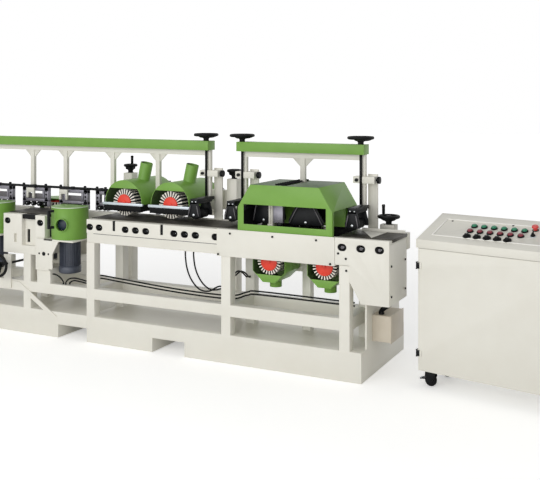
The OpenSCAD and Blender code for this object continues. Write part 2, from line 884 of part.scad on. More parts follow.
module right_press_rollers() {
    low = post_low - arm_w;
    arm_z = [presser_bar_z[1] - arm_w, presser_bar_z[1]];
    px = right_screw_x[1] + post_shift;
    qx = right_screw_x[0] + post_shift;
    color(jet) corner() {
        slab(presser_bar_x, presser_bar_y, presser_bar_z);
        for (i = [0, 1]) presser(presser_xs[i], presser_bar_z[1], presser_base_ws[i], presser_top_w);
        for (x = [qx, px]) {
            slab(span(x, cheek_w / 2), [presser_y[0] - cheek_t, post_y + guide_w / 2], [low, post_low]);
            presser(x, low, end_cheek_w, cheek_w / 2);
        }
        slab(span(right_struts[0], arm_w), [hood_slot_y[0] + arm_w, presser_bar_y[0]],
            arm_z);
        slab([rail_post_x[0], right_struts[0]], rail_bar_y, arm_z);
        slab(rail_post_x, rail_bar_y, [rail_post_low, arm_z[1]]);
        slab(rail_block_x, rail_bar_y, [rail_block_low, arm_z[1]]);
    }
}

module wheel_rim(d) {
    rotate_extrude() translate([d / 2 - wheel_rim_r, 0]) circle(r = wheel_rim_r);
    for (i = [0 : spokes - 1]) rotate([0, 0, i * 360 / spokes]) {
        rod_x(wheel_spoke_r, [0, d / 2 - wheel_rim_r], 0, 0);
    }
}

module handwheel(d, hub_h, dish) {
    cylinder(r = wheel_hub_r, h = hub_h);
    translate([0, 0, dish]) wheel_rim(d);
}

module wheel_grip(d, dish) {
    translate([-d / 2 + wheel_rim_r, 0, dish]) cylinder(r = grip_r, h = grip_l);
}

module screw_wheel(sx) {
    color(jet) corner() translate([sx, screw_y, 0]) {
        rod_z(screw_r, 0, 0, [screw_low, cover_z[1] + gap + over]);
        translate([0, 0, cover_z[1] + gap]) handwheel(wheel_d, wheel_hub_h, wheel_dish);
    }
}

module left_press_units() {
    last = left_units[len(left_units) - 1];
    rod_z0 = strut_low + gap;
    low = table_top + cheek_t;
    color(alloy) corner() {
        for (x = left_units) press_unit(x, low, strut_low);
        slab([last[1] - over, left_struts[2] + strut_w / 2], presser_bar_y,
            [strut_low - arm_w, strut_low]);
        slab(span(left_struts[3], strut_w), span(post_y, guide_w), [low, strut_low]);
        rod_x(axle_r, [left_units[0][0], last[1]], post_y - guide_w / 2 - axle_r - gap,
            rod_z0 + axle_r);
        for (x = left_units) {
            slab(span(mid(x), arm_w), [post_y - guide_w, post_y - guide_w / 2],
                [strut_low, rod_z0 + over]);
        }
        for (sx = left_screw_x) {
            x = sx + post_shift;
            slab(span(x, cheek_w / 2), [presser_y[0] - cheek_t, post_y + guide_w / 2],
                [post_low - arm_w, post_low]);
            presser(x, post_low - arm_w, end_cheek_w, cheek_w / 2);
        }
    }
}

module press_unit(x, low, top) {
    y = [post_y - cheek_w / 6, post_y + guide_w / 2];
    difference() {
        slab(x, y, [low, top]);
        slab(grow(x, -cheek_w / 3), grow(y, over), [low + cheek_w / 2, top - cheek_w / 4]);
        slab(grow(x, -cheek_t), grow(y, over), [low - over, low + cheek_w / 3]);
    }
}

// Flaps standing out round a core, as one outline
function flap_outline(r0, r1) =
    [for (i = [0 : flap_count - 1])
        let (a = i * 360 / flap_count, d = [cos(a), sin(a)], s = [-sin(a), cos(a)] * flap_t / 2)
        each [d * r0 - s, d * r1 - s, d * r1 + s, d * r0 + s]];

module brush(r, l, tail) {
    color(signal_red) {
        linear_extrude(l) polygon(flap_outline(hub_d / 2, r));
        translate([0, 0, -hub_t]) cylinder(r = hub_d / 2 + flange_w, h = hub_t);
        translate([0, 0, -hub_t - nose_l]) cylinder(r = nose_r, h = nose_l);
        translate([0, 0, l]) cylinder(r = spindle_r, h = tail);
    }
}

module along_y(x, y, z) {
    translate([x, y, z]) rotate([-90, 0, 0]) children();
}

module top_hood(i) {
    x = top_xs[i];
    y = from(hood_front, hood_l);
    t = hood_wall;
    base = top_z - hood_skirt_h;
    front = [y[0] - over, y[0] + 2 * t];
    color(leaf_green) corner() difference() {
        union() {
            rod_y(hood_r, x, y, top_z);
            slab(span(x, 2 * hood_r), y, [base, top_z]);
            translate([x, pipe_y, top_z]) rotate([0, pipe_lean, 0]) cylinder(r = pipe_r, h = pipe_rise);
        }
        rod_y(hood_r - t, x, grow(y, -t), top_z);
        intersection() {
            union() {
                rod_y(hood_r - t, x, front, top_z);
                slab(span(x, 2 * (hood_r - t)), front, [base - over, top_z]);
            }
            slab(span(x, 2 * hood_r), grow(front, over), [base - 2 * over, top_z + hood_r - hood_lip]);
        }
        slab(span(x, 2 * (hood_r - t)), grow(y, -t), [base - over, top_z]);
        slab(span(x, 2 * hood_r + 2 * over), grow(y, over), [top_z - hood_r - over, base]);
        translate([x, pipe_y, top_z]) rotate([0, pipe_lean, 0]) {
            cylinder(r = pipe_r - pipe_wall, h = pipe_rise + over);
        }
        rod_y(housing_r + gap, x, [y[1] - 2 * t, y[1] + over], top_z);
    }
}

// A motor along Y with its terminal box above it or, with up at -1, under it
module motor_y(x, y, z, d, l, up) {
    rod_y(d / 2, x, from(y, l), z);
    rod_y(d / 2 + cowl_extra, x, from(y + l, cowl_l), z);
    box_z = [z, z + up * (d / 2 + terminal_h)];
    slab(span(x, terminal_w), from(y + l / 3, terminal_w), [min(box_z), max(box_z)]);
}

module top_carriage(i) {
    x = top_xs[i];
    back = hood_front + hood_l;
    strip_y = [hood_front - 2 * strip_t, hood_front - strip_t];
    strip_z = from(top_z - hood_skirt_h - strip_sink, strip_h);
    strip_x = span(x, 2 * (hood_r + strip_reach));
    cx = top_column_xs[i];
    side = sign(cx - x);
    arm = [x + side * (hood_r + gap), cx - side * (top_column_w / 2 + gap)];
    color(slate) corner() {
        difference() {
            union() {
                rod_y(housing_r, x, [back - housing_l, back + over], top_z);
                slab(span(x, mount_w), from(back, mount_t), span(top_z, mount_h));
                motor_y(x, back + mount_t - over, top_z, motor_d, motor_l, 1);
            }
            rod_y(spindle_r + run_gap, x, [back - housing_l - over, back + spindle_in], top_z);
        }
        slab(strip_x, strip_y, strip_z);
        slab(span(x, 2 * hood_r), from(strip_y[0] + over, curtain_t),
            [strip_z[0] - curtain_h, strip_z[0] + over]);
        for (e = [x - hood_r, x + hood_r - curtain_t]) {
            slab(from(e, curtain_t), [strip_y[1] - over, hood_front + curtain_l],
                [strip_z[0] - curtain_h, top_z - hood_skirt_h]);
        }
        for (e = [strip_x[0], strip_x[1] - strip_end]) {
            slab(from(e, strip_end), [strip_y[1] - over, hood_front], strip_z);
        }
        slab([min(arm), max(arm)], span(top_column_ys[i], slide_w), from(top_z - slide_low, slide_h));
    }
}

module top_brush(i) {
    y = hood_front + brush_set;
    back = hood_front + hood_l;
    tail = back + spindle_in - over - y - brush_l;
    corner() along_y(top_xs[i], y, top_z) brush(brush_d / 2, brush_l, tail);
}

module top_wheel(i, with_grip) {
    color(jet) corner() translate([top_column_xs[i], top_column_ys[i], 0]) {
        rod_z(side_shaft_r, 0, 0, [top_column_top - top_column_w + over, top_column_top + over]);
        translate([0, 0, top_column_top + gap]) rotate([0, 0, top_grip_turn]) {
            handwheel(top_wheel_d, top_wheel_rise + wheel_rim_r, top_wheel_rise);
            if (with_grip) wheel_grip(top_wheel_d, top_wheel_rise);
        }
    }
}

function trough(x, t) =
    let (w = trough_w / 2 - t, f = trough_floor_w / 2 - t / 2, z = bottom_z)
    [[x - w, z + trough_rim], [x - w, z - trough_waist], [x - f, z - trough_floor + t],
        [x + f, z - trough_floor + t], [x + w, z - trough_waist], [x + w, z + trough_rim]];

module bottom_hood(i) {
    x = bottom_xs[i];
    t = trough_wall;
    floor_z = bottom_z - trough_floor;
    spout_y = mid(trough_y) - spout_r / 4;
    color(leaf_green) corner() difference() {
        union() {
            prism_y(trough(x, 0), trough_y);
            rod_z(spout_r, x, spout_y, [floor_z - spout_l, floor_z + over]);
        }
        difference() {
            prism_y(trough(x, t), [trough_y[0] - over, trough_y[1] - t]);
            slab(span(x, trough_w), [trough_y[0] - 2 * over, trough_y[0] + t],
                from(floor_z, trough_band));
        }
        slab(span(x, trough_w + over), grow(trough_y, over), from(bottom_z + trough_rim - t, t + over));
        rod_z(spout_r - t, x, spout_y, [floor_z - spout_l - over, floor_z + 2 * t]);
        rod_y(spindle_r + gap, x, [trough_y[1] - 2 * t, trough_y[1] + over], bottom_z);
    }
}

module bottom_motor(i) {
    x = bottom_xs[i];
    y = trough_y[1];
    side = sign(mid(column_base_x) - x);
    edge = side > 0 ? column_base_x[0] : column_base_x[1];
    arm = [x + side * spout_r, edge - side * gap];
    color(slate) corner() difference() {
        union() {
            slab(span(x, trough_w - post_w), from(y, mount_t), span(bottom_z, bottom_motor_d));
            motor_y(x, y + mount_t - over, bottom_z, bottom_motor_d, bottom_motor_l, -1);
            slab([min(arm), max(arm)], grow(column_base_y, -mount_t),
                from(bottom_z - arm_drop, trough_waist));
        }
        rod_y(spindle_r + run_gap, x, [y - over, y + spindle_in], bottom_z);
    }
}

module bottom_brush(i) {
    tail = trough_y[1] + spindle_in - over - bottom_y - brush_l;
    corner() along_y(bottom_xs[i], bottom_y, bottom_z) brush(bottom_brush_d / 2, brush_l, tail);
}

// The head's work side faces the back on the front heads and the front on the rear head
module side_head(i) {
    corner() translate([side_xs[i], side_ys[i], guard_low]) rotate([0, 0, i == 2 ? 180 : 0]) children();
}

module side_guard(i) {
    r = guard_d / 2;
    t = guard_wall;
    port_z = guard_h - port_drop;
    grip_y = -r - handle_reach;
    color(leaf_green) side_head(i) {
        difference() {
            union() {
                cylinder(r = r, h = guard_h);
                translate([0, 0, guard_h - rim_h]) cylinder(r = r + rim_w, h = rim_h);
                rotate([0, 0, port_turn]) rod_y(port_r, 0, [-r - port_l, 0], port_z);
            }
            translate([0, 0, -over]) cylinder(r = r - t, h = guard_h - t + over);
            rotate([0, 0, port_turn]) rod_y(port_r - port_wall, 0, [-r - port_l - over, 0], port_z);
            slab(span(0, 2 * guard_d), [guard_open, guard_d], [-over, guard_h + over]);
        }
        rotate([0, 0, handle_turn]) {
            for (z = [handle_rise, handle_rise + handle_h - handle_t]) {
                slab(span(0, handle_w), [grip_y, -r + t / 2], from(z, handle_t));
            }
            slab(span(0, handle_w), from(grip_y, handle_t), from(handle_rise, handle_h));
        }
    }
}

module side_motor(i) {
    x = span(bracket_x, bracket_w);
    foot = bracket_low - guard_low;
    face = -bracket_reach;
    shelf_z = [-bracket_t, 0];
    color(slate) side_head(i) difference() {
        union() {
            slab(span(0, guard_d), [face, guard_open], shelf_z);
            slab(x, from(face, bracket_t), [foot, 0]);
            slab([x[0], -foot_clear], [face, guard_open], from(foot - bracket_t + gap, bracket_t));
            prism_y([[x[1] - over, -bracket_t], [x[1] - over, foot / 2], [0, -bracket_t]],
                from(face, bracket_t));
            translate([0, 0, -side_motor_l]) cylinder(r = motor_d / 2, h = side_motor_l);
            translate([0, 0, -side_motor_l - cowl_l]) cylinder(r = motor_d / 2 + cowl_extra, h = cowl_l);
        }
        rod_y(bracket_hole_r, bracket_x, from(face - over, bracket_t + 2 * over), foot / 2);
        for (s = [-1, 1]) {
            rod_y(bracket_small_r, bracket_x + s * bracket_hole_pitch,
                from(face - over, bracket_t + 2 * over), foot / 2);
        }
        translate([0, 0, -spindle_in]) cylinder(r = spindle_r + run_gap, h = spindle_in + over);
    }
}

module side_brush(i) {
    z = side_flap_low + side_flap_l;
    side_head(i) translate([0, 0, z]) rotate([180, 0, 0]) {
        brush(brush_d / 2, side_flap_l, side_flap_low + spindle_in - over);
    }
}

module side_wheel() {
    y = side_wheel_y;
    color(jet) corner() {
        rod_y(side_shaft_r, side_wheel_x, [y, bed_d / 2], side_wheel_z);
        translate([side_wheel_x, y + wheel_hub_h, side_wheel_z]) rotate([90, 0, 0]) {
            handwheel(wheel_d, wheel_hub_h, wheel_dish);
        }
    }
}

module end_crank() {
    top = table_top + crank_box_h;
    color(jet) corner() translate([crank_x, crank_y, 0]) {
        rod_z(side_shaft_r, 0, 0, [table_top + bolt_h + over, top + over]);
        translate([0, 0, top + gap]) rotate([0, 0, crank_grip_turn]) {
            handwheel(crank_wheel_d, crank_shaft_l + wheel_rim_r, crank_shaft_l);
            wheel_grip(crank_wheel_d, crank_shaft_l);
        }
    }
}

module desk() {
    corner() translate([desk_x, desk_y, 0]) rotate([0, 0, -desk_turn]) children();
}

desk_z = [castor_h, castor_h + desk_h];
lid_y = [-desk_lid_edge, desk_d + desk_lid_edge];

function desk_top(y) = desk_z[1] + desk_lid_h + (y - lid_y[0]) * tan(desk_slope);

// A place on the sloping desk top, with its own +Z square to the slope
module on_desk(x, y, up) {
    desk() translate([x, y, desk_top(y)]) rotate([desk_slope, 0, 0]) translate([0, 0, up]) children();
}

function control_places() = concat(
    [for (i = [0 : button_count - 1]) [button_first + i * button_pitch, start_y]],
    [for (i = [0 : button_count - 1]) [button_first + i * button_pitch, stop_y]],
    [for (i = [0 : button_count - 2]) [knob_first + i * button_pitch, knob_row_y]], [stop_at, selector_at]);

module desk_cabinet() {
    w = desk_wall;
    color(cream) desk() {
        difference() {
            slab([0, desk_l], [door_set, desk_d], desk_z);
            slab(grow([0, desk_l], -w), [door_set - over, desk_d - w], grow(desk_z, -w));
        }
        for (z = hinge_zs) {
            for (s = [z - hinge_ear_t - gap, z + hinge_h + gap]) {
                slab([-2 * hinge_r, 0], [-hinge_r, 2 * hinge_r + door_set], from(s, hinge_ear_t));
            }
            rod_z(hinge_pin_r, -hinge_r, 0, [z - hinge_ear_t, z + hinge_h + hinge_ear_t]);
        }
    }
}

module desk_door() {
    color(cream) desk() {
        slab([door_gap, desk_l - door_gap], [0, door_t], grow(desk_z, -door_gap));
        for (z = hinge_zs) difference() {
            union() {
                rod_z(hinge_r, -hinge_r, 0, from(z, hinge_h));
                slab([-hinge_r, hinge_leaf_l], [-hinge_r, 0],
                    from(z, hinge_h));
            }
            rod_z(hinge_pin_r + run_gap, -hinge_r, 0, grow(from(z, hinge_h), over));
        }
    }
}

module desk_lid() {
    x = [-desk_lid_edge, desk_l + desk_lid_edge];
    color(cream) difference() {
        desk() prism_x([[lid_y[0], desk_z[1]], [lid_y[0], desk_top(lid_y[0])],
            [lid_y[1], desk_top(lid_y[1])], [lid_y[1], desk_z[1]]], x);
        desk() slab(grow(x, -2 * desk_wall), grow(lid_y, -2 * desk_wall),
            [desk_z[1] - over, desk_z[1] + desk_lid_h - 2 * desk_wall]);
        on_desk(panel_margin, panel_margin, -panel_sink) {
            slab([0, desk_l - 2 * panel_margin], [0, (desk_d - 2 * panel_margin) / cos(desk_slope)],
                [0, desk_lid_h]);
        }
        for (p = control_places()) on_desk(p[0], p[1], 0) {
            rod_z(control_bore, 0, 0, [-panel_sink - 3 * control_stem_l, over]);
        }
    }
}

module control_stem() {
    rod_z(control_stem_r, 0, 0, [-panel_sink - control_stem_l - control_lift, over]);
}

module desk_button(tone, x, y) {
    color(tone) on_desk(x, y, control_lift) {
        control_stem();
        cylinder(r = button_r, h = button_h);
    }
}

module start_buttons() {
    for (i = [0 : button_count - 1]) desk_button(button_green, button_first + i * button_pitch, start_y);
}

module stop_buttons() {
    for (i = [0 : button_count - 1]) desk_button(signal_red, button_first + i * button_pitch, stop_y);
}

module emergency_stop() {
    color(signal_red) on_desk(stop_at[0], stop_at[1], control_lift) {
        control_stem();
        cylinder(r = mushroom_neck_r, h = mushroom_neck_h);
        translate([0, 0, mushroom_neck_h]) cylinder(r = mushroom_r, h = mushroom_h);
    }
}

module selector_switch() {
    color(jet) on_desk(selector_at[0], selector_at[1], control_lift) {
        control_stem();
        cylinder(r = bezel_r, h = button_h);
        slab(span(0, selector_lever[1]), span(0, selector_lever[0]), [0, button_h + selector_lever[2]]);
    }
}

module speed_knob(i) {
    color(jet) on_desk(knob_first + i * button_pitch, knob_row_y, control_lift) {
        control_stem();
        cylinder(r = dial_r, h = dial_rim_h);
        cylinder(r = dial_grip_r, h = dial_h);
    }
}

module castor() {
    inner = castor_fork_w / 2 - castor_fork_t;
    slab(span(0, castor_plate), span(0, castor_plate), [castor_h - castor_plate_t, castor_h]);
    for (s = [-1, 1]) {
        slab(span(s * (inner + castor_fork_t / 2), castor_fork_t), span(0, castor_wheel_r),
            [castor_wheel_r - castor_axle_r, castor_h - castor_plate_t]);
    }
    rod_x(castor_axle_r, span(0, castor_fork_w), 0, castor_wheel_r);
    difference() {
        rod_x(castor_wheel_r, span(0, castor_wheel_w), 0, castor_wheel_r);
        rod_x(castor_axle_r + run_gap, span(0, castor_wheel_w + over), 0, castor_wheel_r);
    }
    slab(span(0, castor_fork_w), [-castor_wheel_r / 2 - pedal_l, -castor_wheel_r / 2 + over],
        from(2 * castor_wheel_r + pedal_t / 2, pedal_t));
}

module desk_castors() {
    xs = [castor_set, desk_l - castor_set];
    ys = [castor_set, desk_d - castor_set];
    color(jet) desk() for (x = xs) for (y = ys) {
        translate([x, y, 0]) rotate([0, 0, -90]) castor();
    }
}

main_stand();
side_stand();
bed_rails();
table_plates();
front_skirt();
drive_box();
terminal_box();
guide_columns();
fasteners();
power_cables();
hanging_cables();
roller_hood();
beam_cover(right_screw_x);  // right_beam_cover
beam_frame(right_screw_x, right_struts, presser_bar_z[1]);  // right_beam_frame
right_press_rollers();
screw_wheel(right_screw_x[0]);  // right_wheel_1
screw_wheel(right_screw_x[1]);  // right_wheel_2
beam_cover(left_screw_x);  // left_beam_cover
beam_frame(left_screw_x, left_struts, strut_low);  // left_beam_frame
left_press_units();
screw_wheel(left_screw_x[0]);  // left_wheel_1
screw_wheel(left_screw_x[1]);  // left_wheel_2
top_hood(0);  // top_hood_1
top_carriage(0);  // top_carriage_1
top_brush(0);  // top_brush_1
top_wheel(0, true);  // top_wheel_1
top_hood(1);  // top_hood_2
top_carriage(1);  // top_carriage_2
top_brush(1);  // top_brush_2
top_wheel(1, false);  // top_wheel_2
bottom_hood(0);  // bottom_hood_1
bottom_motor(0);  // bottom_motor_1
bottom_brush(0);  // bottom_brush_1
bottom_hood(1);  // bottom_hood_2
bottom_motor(1);  // bottom_motor_2
bottom_brush(1);  // bottom_brush_2
side_guard(0);  // side_guard_1
side_motor(0);  // side_motor_1
side_brush(0);  // side_brush_1
side_guard(1);  // side_guard_2
side_motor(1);  // side_motor_2
side_brush(1);  // side_brush_2
side_guard(2);  // side_guard_3
side_motor(2);  // side_motor_3
side_brush(2);  // side_brush_3
side_wheel();
end_crank();
desk_cabinet();
desk_lid();
desk_door();
desk_castors();
emergency_stop();
selector_switch();
start_buttons();
stop_buttons();
speed_knob(0);  // speed_knob_1
speed_knob(1);  // speed_knob_2
speed_knob(2);  // speed_knob_3
speed_knob(3);  // speed_knob_4
speed_knob(4);  // speed_knob_5
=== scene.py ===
"""Looks of a four-sided brush sanding machine with its control desk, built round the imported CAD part.

Places are in millimetres from the main stand's front right corner on the floor: X runs left as negative
numbers, Y to the back and Z up. place() turns them into the part's own frame in metres.
"""

import json
import math
import random

import bmesh
import bpy
from mathutils import Matrix, Vector


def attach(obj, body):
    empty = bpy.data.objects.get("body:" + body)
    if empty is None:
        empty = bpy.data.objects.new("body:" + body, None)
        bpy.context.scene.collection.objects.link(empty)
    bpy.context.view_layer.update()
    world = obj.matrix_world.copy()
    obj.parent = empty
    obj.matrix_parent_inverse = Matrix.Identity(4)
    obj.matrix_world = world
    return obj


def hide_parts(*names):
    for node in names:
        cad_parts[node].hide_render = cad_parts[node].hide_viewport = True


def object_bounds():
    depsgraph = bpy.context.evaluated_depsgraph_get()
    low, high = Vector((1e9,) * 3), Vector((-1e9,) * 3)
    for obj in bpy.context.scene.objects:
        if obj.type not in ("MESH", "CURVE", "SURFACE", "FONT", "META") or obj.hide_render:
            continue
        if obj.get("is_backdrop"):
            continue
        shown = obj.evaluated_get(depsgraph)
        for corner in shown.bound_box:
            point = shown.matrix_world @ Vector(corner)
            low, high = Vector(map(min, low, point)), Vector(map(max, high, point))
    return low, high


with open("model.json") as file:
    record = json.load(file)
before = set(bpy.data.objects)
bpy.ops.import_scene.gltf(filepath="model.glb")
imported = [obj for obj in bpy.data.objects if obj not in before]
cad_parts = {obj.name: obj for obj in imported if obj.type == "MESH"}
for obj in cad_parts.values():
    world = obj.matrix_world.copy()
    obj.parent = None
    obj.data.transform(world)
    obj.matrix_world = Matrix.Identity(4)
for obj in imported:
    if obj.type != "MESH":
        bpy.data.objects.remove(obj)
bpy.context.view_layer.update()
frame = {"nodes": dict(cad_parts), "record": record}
scene = bpy.context.scene

# Driving places: the stand's left end and its corner, the table, and the axes of the brushes

LEFT = -2134.0
CORNER = Vector((1067.0, -432.5, 0.0))
TABLE_TOP = 905.0
TOP_X = (LEFT + 191, LEFT + 598)
TOP_Z = 1013.0
BOTTOM_X = (-691.0, -290.0)
BOTTOM_Z = 690.0
SIDE_AT = ((LEFT - 250, 120.0), (LEFT - 976, 120.0), (LEFT - 716, 520.0))
GUARD_LOW = 731.0
ORIGIN = (0, 0, 0)
UP = (0, 0, 1)
DOWN = (0, 0, -1)
BACK = (0, 1, 0)

NODE_BODY = {n: b for b, ns in frame["record"]["behaviour"]["bodies"].items() for n in ns}
NODE_SLOT = {s["node"]: s["material_slot"] for s in frame["record"]["subparts"]}


def place(x, y, z):
    """A point in the part's frame, in metres, from millimetres off the stand's corner."""
    return (Vector((x, y, z)) + CORNER) / 1000


def about(middle, half):
    """The span that reaches half to either side of a middle."""
    return (middle - half, middle + half)


def rotation(degrees, axis):
    """A turn round one of the main axes."""
    return Matrix.Rotation(math.radians(degrees), 4, axis)


def aimed(at, axis):
    """A local frame at a point with its +Z along an axis."""
    turn = Vector(axis).normalized().to_track_quat("Z", "Y").to_matrix()
    return Matrix.Translation(Vector(at)) @ turn.to_4x4()


# Colours and materials

PEEL_MM = 2.5
PEEL_STRENGTH = 0.3


def linear(hexcode):
    """Linear colour from an sRGB hex code."""
    out = []
    for i in (1, 3, 5):
        v = int(hexcode[i:i + 2], 16) / 255
        out.append(v / 12.92 if v <= 0.04045 else ((v + 0.055) / 1.055) ** 2.4)
    return (*out, 1.0)


def add_node(tree, kind, **inputs):
    """Adds a shader node and sets its inputs: a tuple (node, output) links, anything else is a value."""
    made = tree.nodes.new(kind)
    for name, value in inputs.items():
        socket = made.inputs[name.replace("_", " ")]
        if isinstance(value, tuple) and len(value) == 2 and isinstance(value[0], bpy.types.Node):
            tree.links.new(value[0].outputs[value[1]], socket)
        else:
            socket.default_value = value
    return made


def surface(name, tone, other, grain_mm, rough, metallic=0.0, bump=0.0, shine=0.5, spread=0.5):
    """A material whose colour drifts between two tones over patches of grain_mm.

    A bump, in millimetres, adds a fine orange peel, drawn as coarse as PEEL_MM so that it shows.
    """
    mat = bpy.data.materials.new(name)
    mat.use_nodes = True
    tree = mat.node_tree
    tree.nodes.clear()
    coords = add_node(tree, "ShaderNodeTexCoord")
    noise = add_node(tree, "ShaderNodeTexNoise", Vector=(coords, "Object"), Scale=1000.0 / grain_mm,
                     Detail=4.0, Roughness=0.6)
    drift = add_node(tree, "ShaderNodeMapRange", Value=(noise, "Fac"), From_Min=0.5 - spread / 2,
                     From_Max=0.5 + spread / 2)
    mix = tree.nodes.new("ShaderNodeMix")
    mix.data_type = "RGBA"
    tones = {"A": tone, "B": other}
    for socket in mix.inputs:
        if socket.type == "RGBA":
            socket.default_value = linear(tones[socket.name])
    tree.links.new(drift.outputs["Result"], mix.inputs[0])
    shader = add_node(tree, "ShaderNodeBsdfPrincipled", Metallic=metallic, Roughness=rough,
                      Specular_IOR_Level=shine)
    colour = [s for s in mix.outputs if s.type == "RGBA"][0]
    tree.links.new(colour, shader.inputs["Base Color"])
    if bump:
        fine = add_node(tree, "ShaderNodeTexNoise", Vector=(coords, "Object"), Scale=1000.0 / PEEL_MM,
                        Detail=2.0)
        relief = add_node(tree, "ShaderNodeBump", Height=(fine, "Fac"), Strength=PEEL_STRENGTH,
                          Distance=bump / 1000)
        tree.links.new(relief.outputs["Normal"], shader.inputs["Normal"])
    add_node(tree, "ShaderNodeOutputMaterial", Surface=(shader, "BSDF"))
    return mat


# Cream powder coat of the stands, bed, beams and desk: satin, with a faint peel
CREAM = surface("cream powder coat", "#E6E4DA", "#E1DED3", 220, 0.42, bump=0.05)
# Leaf green powder coat of hoods, guards and beam covers: satin, with a faint peel
GREEN = surface("green powder coat", "#7AA74A", "#729E44", 160, 0.38, bump=0.05, shine=0.3)
# Ground cast-iron table: dark and dull, with grey streaks
IRON = surface("ground cast iron", "#55524B", "#2A2825", 70, 0.5, metallic=0.7, bump=0.04, shine=0.3)
# Beige enamel of the terminal box: smooth, a little yellower than the stand
BEIGE = surface("beige enamel", "#D6CDBD", "#CCC2B1", 120, 0.4)
# Black oxide on bolts and knobs: nearly black, with a weak sheen
OXIDE = surface("black oxide steel", "#0E0F10", "#161718", 12, 0.4, metallic=0.1, shine=0.14)
# Rubber cable sheath: black and dull
SHEATH = surface("black cable sheath", "#101112", "#191A1B", 30, 0.5, shine=0.15)
# Black paint of the hold-down rollers' frames: smooth, with a weak sheen
BLACK = surface("black machine paint", "#0D0F11", "#181A1D", 50, 0.4, shine=0.16)
# Cast aluminium of the pressers: grey, with a sandy skin
ALLOY = surface("cast aluminium", "#94929A", "#7B7982", 35, 0.45, metallic=0.6, bump=0.1)
# Moulded bakelite of handwheels and knobs: deep black
BAKELITE = surface("black bakelite", "#08090A", "#101111", 40, 0.46, shine=0.14)
# Motor paint: slate blue over a cast skin
SLATE = surface("slate motor paint", "#474C59", "#3C414C", 60, 0.42, bump=0.08)
# Paint of the brush hubs: bright orange red
RED = surface("red hub paint", "#EA3F28", "#DE3822", 50, 0.45)
# Castor rubber: black and matt
TREAD = surface("castor rubber", "#0C0D0D", "#141415", 20, 0.55, shine=0.12)
# Moulded push buttons: glossy dark red, green and the stop's light red
RED_BUTTON = surface("red button plastic", "#8A2434", "#7A1F2D", 30, 0.25)
GREEN_BUTTON = surface("green button plastic", "#17855E", "#147854", 30, 0.25)
STOP_RED = surface("stop button plastic", "#DE4B46", "#D2423D", 30, 0.3)
# Tampico bristle in rows: pale straw, matt
BRISTLE = surface("tampico bristle", "#FFFCF4", "#F1EADA", 5, 0.75, spread=0.6)
# Abrasive cloth between the rows of bristle: dark blue grey, rough
ABRASIVE = surface("abrasive cloth", "#1B2026", "#111418", 6, 0.9)
# Turned and plated steel of screws, axles and rollers: bright
STEEL = surface("bright steel", "#C6C9CB", "#AEB2B5", 14, 0.3, metallic=0.9)
# Anodised strip in front of each top head: bluish white
STRIP = surface("anodised strip", "#D3DCE2", "#C6D0D7", 60, 0.35, metallic=0.3)
# Unpainted casting inside the pressers: dark grey
DARK_CASTING = surface("dark casting", "#6B686B", "#5A585B", 30, 0.5, metallic=0.3)
# Rubber of curtains and liners: black and dull
RUBBER = surface("black rubber", "#0C0D0E", "#151617", 25, 0.6, shine=0.15)
# Navy disc behind a guard's port: painted shade of the port's inside
PORT_SHADE_NAVY = surface("navy painted shade in a port", "#1B2A3D", "#142030", 30, 0.5)
# Paint of the lip round the control panel: lighter than the cream as a painted highlight
LIP_HIGHLIGHT = surface("panel lip with painted highlight", "#FDFCF7", "#F8F6EF", 90, 0.4)
# Paint inside the hoods: green made dark as painted shade, and matt
SHADED_HOOD_GREEN = surface("green paint with painted shade", "#3E5A26", "#33491F", 70, 0.7)
# Top of the roller hood: green greyed as a painted reflection
HOOD_TOP_REFLECTION = surface("green paint with painted reflection", "#6A7B62", "#5B6B54", 120, 0.5, shine=0.3)
# Casting of the crank's gearbox: pale grey
PALE_CASTING = surface("pale casting", "#C2BFB6", "#AEABA2", 35, 0.5, metallic=0.2)
# Sealing rim on the side guards: pale green grey
RIM = surface("pale rim paint", "#D8DFD2", "#CBD4C4", 60, 0.4)

SLOT_MATERIAL = {
    "cream_paint": CREAM, "green_paint": GREEN, "iron": IRON, "beige_paint": BEIGE, "black_steel": OXIDE,
    "cable_rubber": SHEATH, "black_paint": BLACK, "alloy": ALLOY, "black_plastic": BAKELITE,
    "motor_paint": SLATE, "brush_red": RED, "castor_rubber": TREAD, "red_plastic": RED_BUTTON,
    "green_plastic": GREEN_BUTTON,
}

for name, obj in frame["nodes"].items():
    obj.data.materials.clear()
    obj.data.materials.append(SLOT_MATERIAL[NODE_SLOT[name]])

# Building blocks

WELD = 1e-4
CAD_WELD_M = 2e-5
FLAT_BELOW = math.radians(0.5)
CURVED_FROM = math.radians(1)
SHARP_FROM = math.radians(28)
SMOOTH_BELOW = math.radians(50)
MOST_ROUND_SHARE = 0.3
# How far a shape sinks into the one that carries it
SUNK = 1
RING_SIDES = 16


def is_vert(part):
    """Picks the vertices out of what an operator returns."""
    return isinstance(part, bmesh.types.BMVert)


def round_edges(shape, edges, offset):
    """Rounds edges with two segments and shades the new faces smooth."""
    made = bmesh.ops.bevel(shape, geom=edges, offset=offset, offset_type="OFFSET", segments=2, profile=0.5,
                           affect="EDGES", clamp_overlap=True, material=-1)
    for face in made["faces"]:
        face.smooth = True


def smooth_path(points, steps=6):
    """Points along a curve that runs through the given ones."""
    points = [Vector(p) for p in points]
    ends = [points[0] * 2 - points[1], *points, points[-1] * 2 - points[-2]]
    out = []
    for i in range(1, len(ends) - 2):
        p0, p1, p2, p3 = ends[i - 1:i + 3]
        for s in range(steps):
            t = s / steps
            out.append(0.5 * (2 * p1 + (p2 - p0) * t + (2 * p0 - 5 * p1 + 4 * p2 - p3) * t * t
                              + (3 * p1 - p0 - 3 * p2 + p3) * t ** 3))
    out.append(points[-1])
    return out


